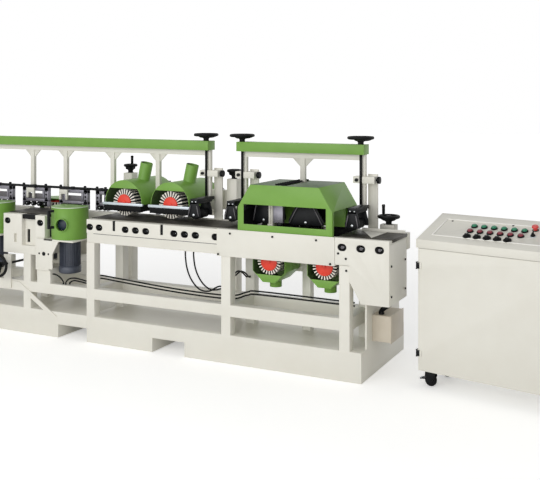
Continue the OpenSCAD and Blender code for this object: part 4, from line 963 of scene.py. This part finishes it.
piece = Piece("right_press_rollers_finish", "right_beam", BLACK, RUBBER, STEEL, CREAM, ALLOY, DARK_CASTING,
              GREEN)
piece.box(BAR_X, BAR_Y, (BAR_LOW, BAR_Z[1]), BLACK)
for x, base in MIDDLE_PRESSERS:
    presser(piece, x, BAR_Z[1], base, MIDDLE_HEAD)
for x in BEAM_SCREWS["right"]:
    end_presser(piece, x)
piece.box(about(CROSS_BAR_X, CROSS_BAR_HALF), (CROSS_BAR_FRONT, BRIDGE_BACK), BAR_Z, BLACK, 1.2)
# Post on two rods with its foot, a cast block and a small guide wheel
piece.box((POST_LEFT, CROSS_BAR_X), POST_Y, BAR_Z, CREAM)
y = sum(POST_Y) / 2
for x in POST_RODS:
    piece.rod((x, y, POST_FOOT_Z[0] + 2), (x, y, BAR_Z[0] + 2), POST_ROD_R, CREAM)
piece.box((POST_LEFT, POST_FOOT_RIGHT), POST_Y, POST_FOOT_Z, CREAM)
piece.box(BLOCK_X, POST_Y, BLOCK_Z, ALLOY, 2)
x, z = GUIDE_WHEEL_AT
piece.rod((x, GUIDE_WHEEL_Y[0], z), (x, GUIDE_WHEEL_Y[1], z), GUIDE_WHEEL_R, BLACK, 2)
# Green sheet that hangs behind the pressers, and a stepped rubber sheet at their left
low, shoulder, top = BACK_SHEET_Z
piece.prism([(HOOD_LEFT, low), (HOOD_RIGHT, low), (HOOD_RIGHT, shoulder), (HOOD_RIGHT - 34, top),
             (HOOD_LEFT + 33, top), (HOOD_LEFT, shoulder)], 1, BACK_SHEET_Y, GREEN)
low, high = RUBBER_SHEET_Z
step = HOOD_LEFT + RUBBER_STEP
piece.box((HOOD_LEFT, HOOD_LEFT + RUBBER_SHEET), HOOD_SHEET_Y, RUBBER_SHEET_Z, RUBBER, 1)
piece.box((HOOD_LEFT, step + RUBBER_SHEET), HOOD_SHEET_Y, (high - RUBBER_SHEET, high), RUBBER, 1)
piece.box((step, step + RUBBER_SHEET), HOOD_SHEET_Y, (high - 4, RUBBER_STEP_TOP), RUBBER, 1)
piece.done("right_press_rollers")

# Thin sheet on the table, the roller hood and the stand

SEAT = TABLE_TOP + 0.2
FENCE_X = ((-860, -814), (-568, -413))
FENCE_Y = (329, 336)
FENCE_TOP = 924
END_SHEET = [(42, 72), (56, 330), (-108, 330)]
END_SHEET_THICK = 2.3
END_LIP_X = (-120, 178)
END_LIP_Y = (338, 342)
END_LIP_TOP = 926
LOUVRE_X = ((-613, -586), (-573, -546))
LOUVRE_FIRST_Y = 34
LOUVRE_PITCH = 36
LOUVRE_HALF = 2
LOUVRE_Z = (1213, 1222)
LOUVRES = 12
LOUVRE_BASE_Y = (30, 440)
LOUVRE_BASE_Z = (1212.2, 1214)
LINER = 4
LINER_GAP = 0.2
LINER_Y = (7.8, 300)
LINER_Z = (0.5, 103)
LINER_ROOF_Z = (100.3, 103.5)
FORK_LEFT = (-1558, LEFT - 264)
FORK_ROOF_RIGHT = (-1290, LEFT - 8)
JOINT_X = (LEFT + 60, -1034)
JOINT_Y = (3, 5.6)
JOINT_Z = (795.5, 800.5)

# Low fence along the table under the roller hood
piece = Piece("table_fence", "machine", OXIDE)
for x in FENCE_X:
    piece.box(x, FENCE_Y, (SEAT, FENCE_TOP), soft=1)
piece.done()
# Flat cream triangle and rear lip on the table's right end: the triangle stands for a cream tray's lit facet,
# and the dark table round it for the tray's slopes as painted shade
piece = Piece("end_sheet", "machine", CREAM)
piece.prism(END_SHEET, 2, (SEAT, SEAT + END_SHEET_THICK), soft=0.5)
piece.box(END_LIP_X, END_LIP_Y, (SEAT, END_LIP_TOP), soft=1)
piece.done()
# Black louvres over the slot in the roller hood's top
piece = Piece("hood_lid_seam", "machine", RUBBER)
for x in LOUVRE_X:
    piece.box(x, LOUVRE_BASE_Y, LOUVRE_BASE_Z, soft=0.5)
    for k in range(LOUVRES):
        piece.box(x, about(LOUVRE_FIRST_Y + LOUVRE_PITCH * k, LOUVRE_HALF), LOUVRE_Z, soft=0.8)
piece.done()
# Sheet liners of the fork tunnels, and the joint between the bed's rail and its apron
piece = Piece("fork_liners", "machine", CREAM, DARK_CASTING)
for low, roof_right in zip(FORK_LEFT, FORK_ROOF_RIGHT):
    piece.box((low - LINER, low - LINER_GAP), LINER_Y, LINER_Z, CREAM, 0.5)
    piece.box((low - LINER, roof_right), LINER_Y, LINER_ROOF_Z, CREAM, 0.5)
right = FORK_ROOF_RIGHT[0]
piece.box((right - LINER + LINER_GAP, right), LINER_Y, LINER_Z, CREAM, 0.5)
piece.box(JOINT_X, JOINT_Y, JOINT_Z, DARK_CASTING, 0.4)
piece.done()

# Hold-downs under the left beam: forks at the struts, four presser units on a black rod, end pressers

STRUT_SHARES = (0.269, 0.419, 0.623, 0.808)
UNIT_SHARES = ((0.057881, 0.178094), (0.225289, 0.344613), (0.394479, 0.519145), (0.553428, 0.606857))
STRUTS = [BEAM_LEFT + s * BEAM_LONG for s in STRUT_SHARES]
UNITS = [[BEAM_LEFT + s * BEAM_LONG for s in shares] for shares in UNIT_SHARES]
FORK_HALF = 40
FORK_TINE = 18
FORK_Y = (318, 339.5)
FORK_BRIDGE_Z = (1030, 1066)
FORK_TINE_Z = (985, 1034)
UNIT_Y = (340, 375)
UNIT_TOP = 1070
UNIT_FOOT = 917
UNIT_POST = 40
UNIT_POST_LOW = 957
UNIT_TOE = 12
UNIT_TOE_TOP = 960
UNIT_SILL_Z = (955, 978)
UNIT_HEAD_LOW = 1040
UNIT_BOLT_Z = (985, 1015, 1045)
UNIT_BOLT_Y = (336, 342)
UNIT_BOLT_R = 8
UNIT_KNOB_Z = (1076, 1102)
UNIT_KNOB_R = 11
CLAMP_HALF = 12
CLAMP_Y = (322, 348)
CLAMP_Z = (1068, 1093)
SMALL_ROLLER_Z = 937
SMALL_ROLLER_Y = (343, 372)
SMALL_ROLLER_R = 20
SMALL_ROLLER_PITCH = 62
SMALL_AXLE_Y = (339, 375)
SMALL_AXLE_R = 5
WINDOW_FROM = 200
WINDOW_BLOCK_IN = 62
WINDOW_BLOCK_Y = (342, 373)
WINDOW_BLOCK_Z = (976, 1018)
WINDOW_LIP_IN = 52
WINDOW_LIP_HALF = 8
WINDOW_LIP_Y = (338, 373)
WINDOW_LIP_Z = (976, 1042)
STRUT_HALF = 18
STRUT_FOOT_Y = (345, 375)
TIE_Y = (347, 373)
TIE_LOW = 1046
ROD_R = 10
ROD_Y = 334.7
ROD_Z = 1080.3

piece = Piece("strut_forks", "left_beam", CREAM)
for x in STRUTS[:2]:
    piece.box(about(x, FORK_HALF), FORK_Y, FORK_BRIDGE_Z, soft=3)
    for e in about(x, FORK_HALF - FORK_TINE / 2):
        piece.box(about(e, FORK_TINE / 2), FORK_Y, FORK_TINE_Z, soft=3)
piece.done()


def presser_unit(piece, a, b):
    """A cast frame between a and b with small rubber rollers between its feet, and a clamp on the rod."""
    middle, half = (a + b) / 2, (b - a) / 2
    for e in about(middle, half - UNIT_POST / 2):
        piece.box(about(e, UNIT_POST / 2), UNIT_Y, (UNIT_POST_LOW, UNIT_TOP), ALLOY, 2.5)
        for z in UNIT_BOLT_Z:
            piece.rod((e, UNIT_BOLT_Y[0], z), (e, UNIT_BOLT_Y[1], z), UNIT_BOLT_R, BLACK)
        piece.rod((e, ROD_Y, UNIT_KNOB_Z[0]), (e, ROD_Y, UNIT_KNOB_Z[1]), UNIT_KNOB_R, BLACK, 2)
    for e in about(middle, half - UNIT_TOE / 2):
        piece.box(about(e, UNIT_TOE / 2), UNIT_Y, (UNIT_FOOT, UNIT_TOE_TOP), ALLOY)
    piece.box((a, b), UNIT_Y, UNIT_SILL_Z, ALLOY, 2.0)
    piece.box((a, b), UNIT_Y, (UNIT_HEAD_LOW, UNIT_TOP), ALLOY, 2.5)
    piece.box(about(middle, CLAMP_HALF), CLAMP_Y, CLAMP_Z, BLACK, 2)
    count = round((b - a) / SMALL_ROLLER_PITCH)
    z = SMALL_ROLLER_Z
    for k in range(count):
        e = a + UNIT_TOE + (b - a - 2 * UNIT_TOE) * (k + 0.5) / count
        piece.rod((e, SMALL_ROLLER_Y[0], z), (e, SMALL_ROLLER_Y[1], z), SMALL_ROLLER_R, RUBBER, 2)
        piece.rod((e, SMALL_AXLE_Y[0], z), (e, SMALL_AXLE_Y[1], z), SMALL_AXLE_R, STEEL)
    if b - a > WINDOW_FROM:
        # Dark block under the window and the lips beside it
        piece.box(about(middle, half - WINDOW_BLOCK_IN), WINDOW_BLOCK_Y, WINDOW_BLOCK_Z, DARK_CASTING, 2)
        for e in about(middle, half - WINDOW_LIP_IN):
            piece.box(about(e, WINDOW_LIP_HALF), WINDOW_LIP_Y, WINDOW_LIP_Z, ALLOY, 2)


piece = Piece("left_press_units_finish", "left_beam", ALLOY, RUBBER, STEEL, BLACK, DARK_CASTING)
for a, b in UNITS:
    presser_unit(piece, a, b)
first, last = UNITS[0][0], UNITS[-1][1]
piece.box((last - 2, STRUTS[2] + STRUT_HALF), TIE_Y, (TIE_LOW, UNIT_TOP), ALLOY)
piece.box(about(STRUTS[3], STRUT_HALF), STRUT_FOOT_Y, (UNIT_FOOT, UNIT_TOP), ALLOY, 2)
piece.rod((first, ROD_Y, ROD_Z), (last, ROD_Y, ROD_Z), ROD_R, BLACK)
for x in BEAM_SCREWS["left"]:
    end_presser(piece, x)
piece.done("left_press_units")

# Cables: routes given as lists of points

CABLE_R = 5.5
CONDUIT_R = 14
CONDUIT_RIB_R = 2.4
GLAND_R = 20
GLAND_LONG = 14
GLAND_AT = ((116, 250, 486), (48, 244, 390))
RAIL_RUN = [
    (-2106, 70, 452), (-2106, 88, 452), (-2092, 108, 451), (-2056, 112, 450), (-1840, 112, 436),
    (-1400, 112, 412), (-1000, 112, 410), (-860, 112, 448), (-760, 112, 460), (-140, 112, 456),
    (-112, 104, 456), (-106, 88, 456), (-106, 70, 456),
]
RAIL_CABLES_APART = 22
SHORT_LEADS = (
    [(-2375, 30, 395), (-2375, 30, 414), (-2408, 30, 446), (-2450, 30, 462), (-2474, 30, 462)],
    [(-2350, 30, 395), (-2350, 30, 412), (-2320, 30, 440), (-2270, 30, 450), (-2210, 30, 446),
     (-2160, 30, 438), (-2134, 30, 438)],
    [(-2328, 50, 395), (-2328, 50, 408), (-2290, 50, 426), (-2230, 50, 424), (-2165, 50, 416),
     (-2134, 50, 416)],
    [(-964, 70, 580), (-964, 96, 580), (-966, 170, 592), (-976, 250, 568), (-986, 330, 524),
     (-986, 350, 524)],
    [(-942, 70, 580), (-942, 96, 580), (-944, 170, 592), (-954, 250, 568), (-964, 330, 524),
     (-964, 350, 524)],
)
CONDUIT = [(116, 250, 500), (116, 250, 480), (98, 249, 452), (68, 246, 432), (48, 244, 410), (48, 244, 390)]
HANGING = (
    [(-1302, 28, 730), (-1302, 28, 690), (-1292, 28, 620), (-1268, 28, 556), (-1228, 28, 502),
     (-1176, 28, 468), (-1112, 28, 468), (-1060, 28, 496), (-1030, 28, 508), (-1002, 28, 508)],
    [(-1245, 44, 730), (-1245, 44, 690), (-1234, 44, 620), (-1208, 44, 558), (-1166, 44, 506),
     (-1112, 44, 476), (-1064, 44, 478), (-1032, 44, 488), (-1002, 44, 488)],
)

piece = Piece("power_cables_finish", "machine", SHEATH)
for up in (0, RAIL_CABLES_APART):
    piece.tube([(x, y, z + up) for x, y, z in RAIL_RUN], CABLE_R)
for lead in SHORT_LEADS:
    piece.tube(lead, CABLE_R)
# Ribbed conduit between the drive box and the terminal box, with a gland at each end
piece.tube(CONDUIT, CONDUIT_R)
line = smooth_path(CONDUIT)
for a, b in zip(line, line[1:]):
    piece.ring((a + b) / 2, b - a, CONDUIT_R - 0.4, CONDUIT_RIB_R, sides=28)
for x, y, z in GLAND_AT:
    piece.rod((x, y, z), (x, y, z + GLAND_LONG), GLAND_R, soft=1.5, sides=6)
piece.done("power_cables")

for i, loop in enumerate(HANGING, 1):
    piece = Piece(f"hanging_cable_{i}", "machine", SHEATH)
    piece.tube(loop, CABLE_R)
    cable = piece.done("hanging_cables")
    line = smooth_path(loop)

# Liners and screws in the slots of the bed's front

SLOT_Z = 845
SLOT_HALF = 7
SLOT_R = 22.6
SLOT_BACK = 11.5
BED_FACE = 4
DRIVE_FACE = -4
DRIVE_LEFT = -174
BED_SLOTS = [LEFT + d for d in (28, 112, 343, 431, 519, 754, 840, 928, 1086)]
SIDE_SLOTS = [LEFT - 761, LEFT - 439]
DRIVE_SLOTS = [-126, -1, 121]
SLOT_NUT_OFF = 2
SLOT_NUT_R = 12
SLOT_GLINT_OFF = 12
SLOT_GLINT_UP = 3
SLOT_GLINT_R = 3
SIDE_SLIT_X = (LEFT - 602, LEFT - 569)
SIDE_SLIT_Y = (53, 58)
SIDE_SLIT_Z = (682, 786)
BED_SLIT_X = (LEFT + 244, LEFT + 653)
BED_SLIT_HALF = 11.3
BED_SLIT_BACK = 23.5
BED_SLIT_Z = (828.5, 899)

piece = Piece("slot_liners", "machine", RUBBER, STEEL, DARK_CASTING)
for x in BED_SLOTS + SIDE_SLOTS + DRIVE_SLOTS:
    on_drive = x > DRIVE_LEFT
    y = DRIVE_FACE if on_drive else BED_FACE
    for e in about(x, SLOT_HALF):
        piece.rod((e, y, SLOT_Z), (e, SLOT_BACK, SLOT_Z), SLOT_R, RUBBER, 0.5)
    piece.box(about(x, SLOT_HALF), (y, SLOT_BACK), about(SLOT_Z, SLOT_R), RUBBER, 0.3)
    nut, nut_paint = x + SLOT_NUT_OFF, DARK_CASTING if on_drive else RUBBER
    piece.rod((nut, y - 5, SLOT_Z), (nut, y + 2, SLOT_Z), SLOT_NUT_R, nut_paint, 2, 6)
    # A small bright steel dot right of each nut is a painted glint
    glint_x, glint_z = x + SLOT_GLINT_OFF, SLOT_Z + SLOT_GLINT_UP
    piece.rod((glint_x, y - 3, glint_z), (glint_x, y + 2, glint_z), SLOT_GLINT_R, STEEL)
piece.box(SIDE_SLIT_X, SIDE_SLIT_Y, SIDE_SLIT_Z, RUBBER, 0.5)
for x in BED_SLIT_X:
    piece.box(about(x, BED_SLIT_HALF), (BED_FACE, BED_SLIT_BACK), BED_SLIT_Z, RUBBER, 0.3)
piece.done()

# Desk controls

SLOPE = math.radians(18.7)
LID_FRONT_Y = -8
LID_FRONT_Z = 912
CONTROL_PITCH = 64
BUTTONS = 6
BUTTON_X = 278
START_Y = 216
STOP_Y = 152
KNOBS = 5
KNOB_X = 287
KNOB_Y = 84
MUSHROOM_AT = (653, 244)
SELECTOR_AT = (666, 167)
PANEL_SCREWS_AT = ((108, 264), (503, 273), (898, 264))
PANEL_SCREW_R = 6
# Profiles of the controls, each on a stem that runs through the panel
STEM = [(0, -8), (7, -8), (7, 2)]
BUTTON = [*STEM, (16, 2), (16, 12), (13.5, 14.6), (0, 15)]
MUSHROOM = [*STEM, (12, 2), (12, 16), (20, 18), (20, 24), (17, 29), (8, 30), (0, 30)]
SELECTOR = [*STEM, (14, 2), (14, 9), (12, 11), (0, 11)]
SELECTOR_GRIP = ((-4, 4), (-13, 13), (9, 25))
KNOB = [*STEM, (25, 2), (25, 6), (22, 8), (15, 8.5), (14, 18), (12, 20), (0, 20)]
KNOB_RIBS = 12
KNOB_RIB = ((13.5, 24), (-1.2, 1.2), (7, 9.6))
KNOB_MARK = ((-0.8, 0.8), (4, 11), (19.6, 20.4))
BUTTON_SHADE_COLLAR_R = 18
BUTTON_SHADE_COLLAR_TOP = 6.5
MUSHROOM_COLLAR_R = 17
SELECTOR_COLLAR_R = 16
COLLAR_TOP = 2.4
COLLAR_LOW = -1.9
COLLAR_IN = 1.4
COLLAR_OUT = 2.5
COLLAR_BEVEL = (1.5, 1.6)


def on_desk(x, y):
    """A local frame on the sloping desk top with +Z square to it."""
    z = LID_FRONT_Z + (y - LID_FRONT_Y) * math.tan(SLOPE)
    return DESK @ Matrix.Translation((x, y, z)) @ Matrix.Rotation(SLOPE, 4, "X")


collars = Piece("control_collars", "machine", OXIDE, STEEL)


def collar(where, r, paint, top=COLLAR_TOP):
    """A ring round a control that rises to top above the panel, and whose bore clears the control."""
    bore, wide = r - COLLAR_IN, r + COLLAR_OUT
    foot = (bore, COLLAR_LOW)
    collars.lathe([foot, (wide, COLLAR_LOW), (wide, top - COLLAR_BEVEL[1]), (wide - COLLAR_BEVEL[0], top),
                   (bore, top), foot], paint, 36, where=where)


for node, tone, y in (("start_buttons", GREEN_BUTTON, START_Y), ("stop_buttons", RED_BUTTON, STOP_Y)):
    piece = Piece(node + "_finish", node, tone)
    for k in range(BUTTONS):
        where = on_desk(BUTTON_X + CONTROL_PITCH * k, y)
        piece.lathe(BUTTON, tone, 36, where=where)
        # The buttons' collars are black and tall as painted shade on the buttons' lower sides
        collar(where, BUTTON_SHADE_COLLAR_R, OXIDE, BUTTON_SHADE_COLLAR_TOP)
    piece.done(node)

piece = Piece("emergency_stop_finish", "emergency_stop", STOP_RED)
where = on_desk(*MUSHROOM_AT)
piece.lathe(MUSHROOM, STOP_RED, 40, where=where)
piece.done("emergency_stop")
collar(where, MUSHROOM_COLLAR_R, OXIDE)

piece = Piece("selector_switch_finish", "selector_switch", BAKELITE)
where = on_desk(*SELECTOR_AT)
piece.lathe(SELECTOR, BAKELITE, 36, where=where)
piece.box(*SELECTOR_GRIP, BAKELITE, where=where)
piece.done("selector_switch")
collar(where, SELECTOR_COLLAR_R, STEEL)

for k in range(KNOBS):
    piece = Piece(f"speed_knob_{k + 1}_finish", f"speed_knob_{k + 1}", BAKELITE, STEEL)
    where = on_desk(KNOB_X + CONTROL_PITCH * k, KNOB_Y)
    piece.lathe(KNOB, BAKELITE, 40, where=where)
    for t in range(KNOB_RIBS):
        piece.box(*KNOB_RIB, BAKELITE, 0.5, where @ rotation(t * 360 / KNOB_RIBS, "Z"))
    piece.box(*KNOB_MARK, STEEL, 0.2, where)
    piece.done(f"speed_knob_{k + 1}")
# Screws of the panel
for at in PANEL_SCREWS_AT:
    collars.rod((0, 0, -2.5), (0, 0, 2), PANEL_SCREW_R, OXIDE, where=on_desk(*at))
collars.done()

# Raised lip round the desk's control panel, whiter than the lid as a painted highlight

PANEL_AT = (70, 70)
PANEL_LONG = 860
PANEL_DEEP = 221.7
LIP_WIDE = 9
LIP_Z = (-2, 2.5)
panel = on_desk(*PANEL_AT)
whole = (-LIP_WIDE, PANEL_LONG + LIP_WIDE)
piece = Piece("panel_lip", "machine", LIP_HIGHLIGHT)
for x, y in ((whole, (-LIP_WIDE, 0)), (whole, (PANEL_DEEP, PANEL_DEEP + LIP_WIDE)),
             ((-LIP_WIDE, 0), (0, PANEL_DEEP)), ((PANEL_LONG, PANEL_LONG + LIP_WIDE), (0, PANEL_DEEP))):
    piece.box(x, y, LIP_Z, soft=1, where=panel)
piece.done()

# Castors: plate, swivel, fork, wheel, axle and brake pedal

CASTOR_X = (60, 940)
CASTOR_Y = (60, 290)
CASTOR_PLATE = ((-32, 32), (-32, 32), (94, 100))
CASTOR_AXLE_Z = 38
CASTOR_AXLE_HALF = 24
CASTOR_AXLE_R = 6
CASTOR_CHEEK_OFF = 19.5
CASTOR_CHEEK_HALF = 2.5
PEDAL_AT = (0, -30, CASTOR_AXLE_Z + 8)
PEDAL_TILT = 8
PEDAL = ((-24, 24), (-36, 8), (-3, 3))
PEDAL_TIP = ((-16, 16), (-40, -26), (-6, 6))
CASTOR_FORK = [(-30, 88), (30, 88), (33, 62), (13, 30), (-13, 30), (-33, 62)]
CASTOR_WHEEL = [(0, -13), (30, -13), (36, -11), (38, -6), (38, 6), (36, 11), (30, 13), (0, 13)]
SWIVEL = [(0, 84), (24, 84), (24, 92), (18, 94), (0, 94)]


def castor(piece, x, y):
    """One castor under a corner of the desk, which trails to the right."""
    at = Matrix.Translation((x, y, 0)) @ rotation(-90, "Z")
    piece.box(*CASTOR_PLATE, OXIDE, 1.0, at)
    piece.lathe(SWIVEL, OXIDE, 32, where=at)
    for e in about(0, CASTOR_CHEEK_OFF):
        piece.prism(CASTOR_FORK, 0, about(e, CASTOR_CHEEK_HALF), OXIDE, where=at)
    piece.lathe(CASTOR_WHEEL, TREAD, 48, (0, 0, CASTOR_AXLE_Z), (1, 0, 0), at)
    left, right = about(0, CASTOR_AXLE_HALF)
    piece.rod((left, 0, CASTOR_AXLE_Z), (right, 0, CASTOR_AXLE_Z), CASTOR_AXLE_R, OXIDE, where=at)
    pedal = at @ Matrix.Translation(PEDAL_AT) @ rotation(PEDAL_TILT, "X")
    piece.box(*PEDAL, OXIDE, 2, pedal)
    piece.box(*PEDAL_TIP, STEEL, 2, pedal)


piece = Piece("desk_castors_finish", "machine", OXIDE, TREAD, STEEL, turn=DESK)
for x in CASTOR_X:
    for y in CASTOR_Y:
        castor(piece, x, y)
piece.done("desk_castors")

# Stage: floor, world, light and camera

FLOOR_HALF_M = 40
WHITE = (1.0, 1.0, 1.0, 1.0)
FILL = 0.5
KEY_AT = Vector((-0.6, -7.0, 2.7))
KEY_TARGET = Vector((0.2, 0, 0.7))
KEY_SIZE = (8, 4)
KEY_WATTS = 243
CAMERA_AT = (1889, -5083, 1767)
CAMERA_YAW = 26.4


def combined(tree, operation, first, second):
    """A node that combines two outputs, each given as a tuple (node, output)."""
    made = tree.nodes.new("ShaderNodeMath")
    made.operation = operation
    for socket, (node, output) in zip(made.inputs, (first, second)):
        tree.links.new(node.outputs[output], socket)
    return made


def seen_rays(tree):
    """A node that gives 1 to the rays that show a background, and 0 to those that light the object."""
    path = add_node(tree, "ShaderNodeLightPath")
    shown = combined(tree, "MAXIMUM", (path, "Is Camera Ray"), (path, "Is Glossy Ray"))
    return combined(tree, "MAXIMUM", (shown, 0), (path, "Is Transmission Ray"))


# Plain pale studio floor, which looks whiter further off without lighting the object
pale = surface("pale studio floor", "#FBFBFA", "#FAFAF9", 900, 0.8)
tree = pale.node_tree
spot = add_node(tree, "ShaderNodeTexCoord")
away = add_node(tree, "ShaderNodeVectorMath", Vector=(spot, "Object"))
away.operation = "LENGTH"
rise = add_node(tree, "ShaderNodeMapRange", Value=(away, "Value"), From_Min=2.0, From_Max=9.0, To_Min=0.34,
                To_Max=0.56)
glow = combined(tree, "MULTIPLY", (rise, "Result"), (seen_rays(tree), 0))
shader = [n for n in tree.nodes if n.type == "BSDF_PRINCIPLED"][0]
shader.inputs["Emission Color"].default_value = WHITE
tree.links.new(glow.outputs[0], shader.inputs["Emission Strength"])

sheet = bmesh.new()
bmesh.ops.create_grid(sheet, x_segments=1, y_segments=1, size=FLOOR_HALF_M)
floor_mesh = bpy.data.meshes.new("floor")
sheet.to_mesh(floor_mesh)
sheet.free()
floor_mesh.materials.append(pale)
floor = bpy.data.objects.new("floor", floor_mesh)
scene.collection.objects.link(floor)
floor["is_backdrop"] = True

world = bpy.data.worlds.new("studio")
scene.world = world
world.use_nodes = True
tree = world.node_tree
tree.nodes.clear()
fill = add_node(tree, "ShaderNodeBackground", Color=WHITE, Strength=FILL)
white = add_node(tree, "ShaderNodeBackground", Color=WHITE, Strength=1.0)
pick = tree.nodes.new("ShaderNodeMixShader")
for socket, node in zip(pick.inputs, (seen_rays(tree), fill, white)):
    tree.links.new(node.outputs[0], socket)
add_node(tree, "ShaderNodeOutputWorld", Surface=(pick, 0))

softbox = bpy.data.lights.new("key softbox", "AREA")
softbox.shape = "RECTANGLE"
softbox.size, softbox.size_y = KEY_SIZE
softbox.energy = KEY_WATTS
lamp = bpy.data.objects.new("key softbox", softbox)
lamp.location = KEY_AT
lamp.rotation_euler = (KEY_TARGET - KEY_AT).to_track_quat("-Z", "Y").to_euler()
scene.collection.objects.link(lamp)

camera = bpy.data.cameras.new("camera")
camera.sensor_width = 36.0
camera.lens = 57.73
camera.shift_y = -0.2578
viewer = bpy.data.objects.new("camera", camera)
viewer.location = place(*CAMERA_AT)
viewer.rotation_euler = (math.radians(90), 0, math.radians(CAMERA_YAW))
scene.collection.objects.link(viewer)
scene.camera = viewer
scene.view_settings.view_transform = "Standard"

low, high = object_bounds()
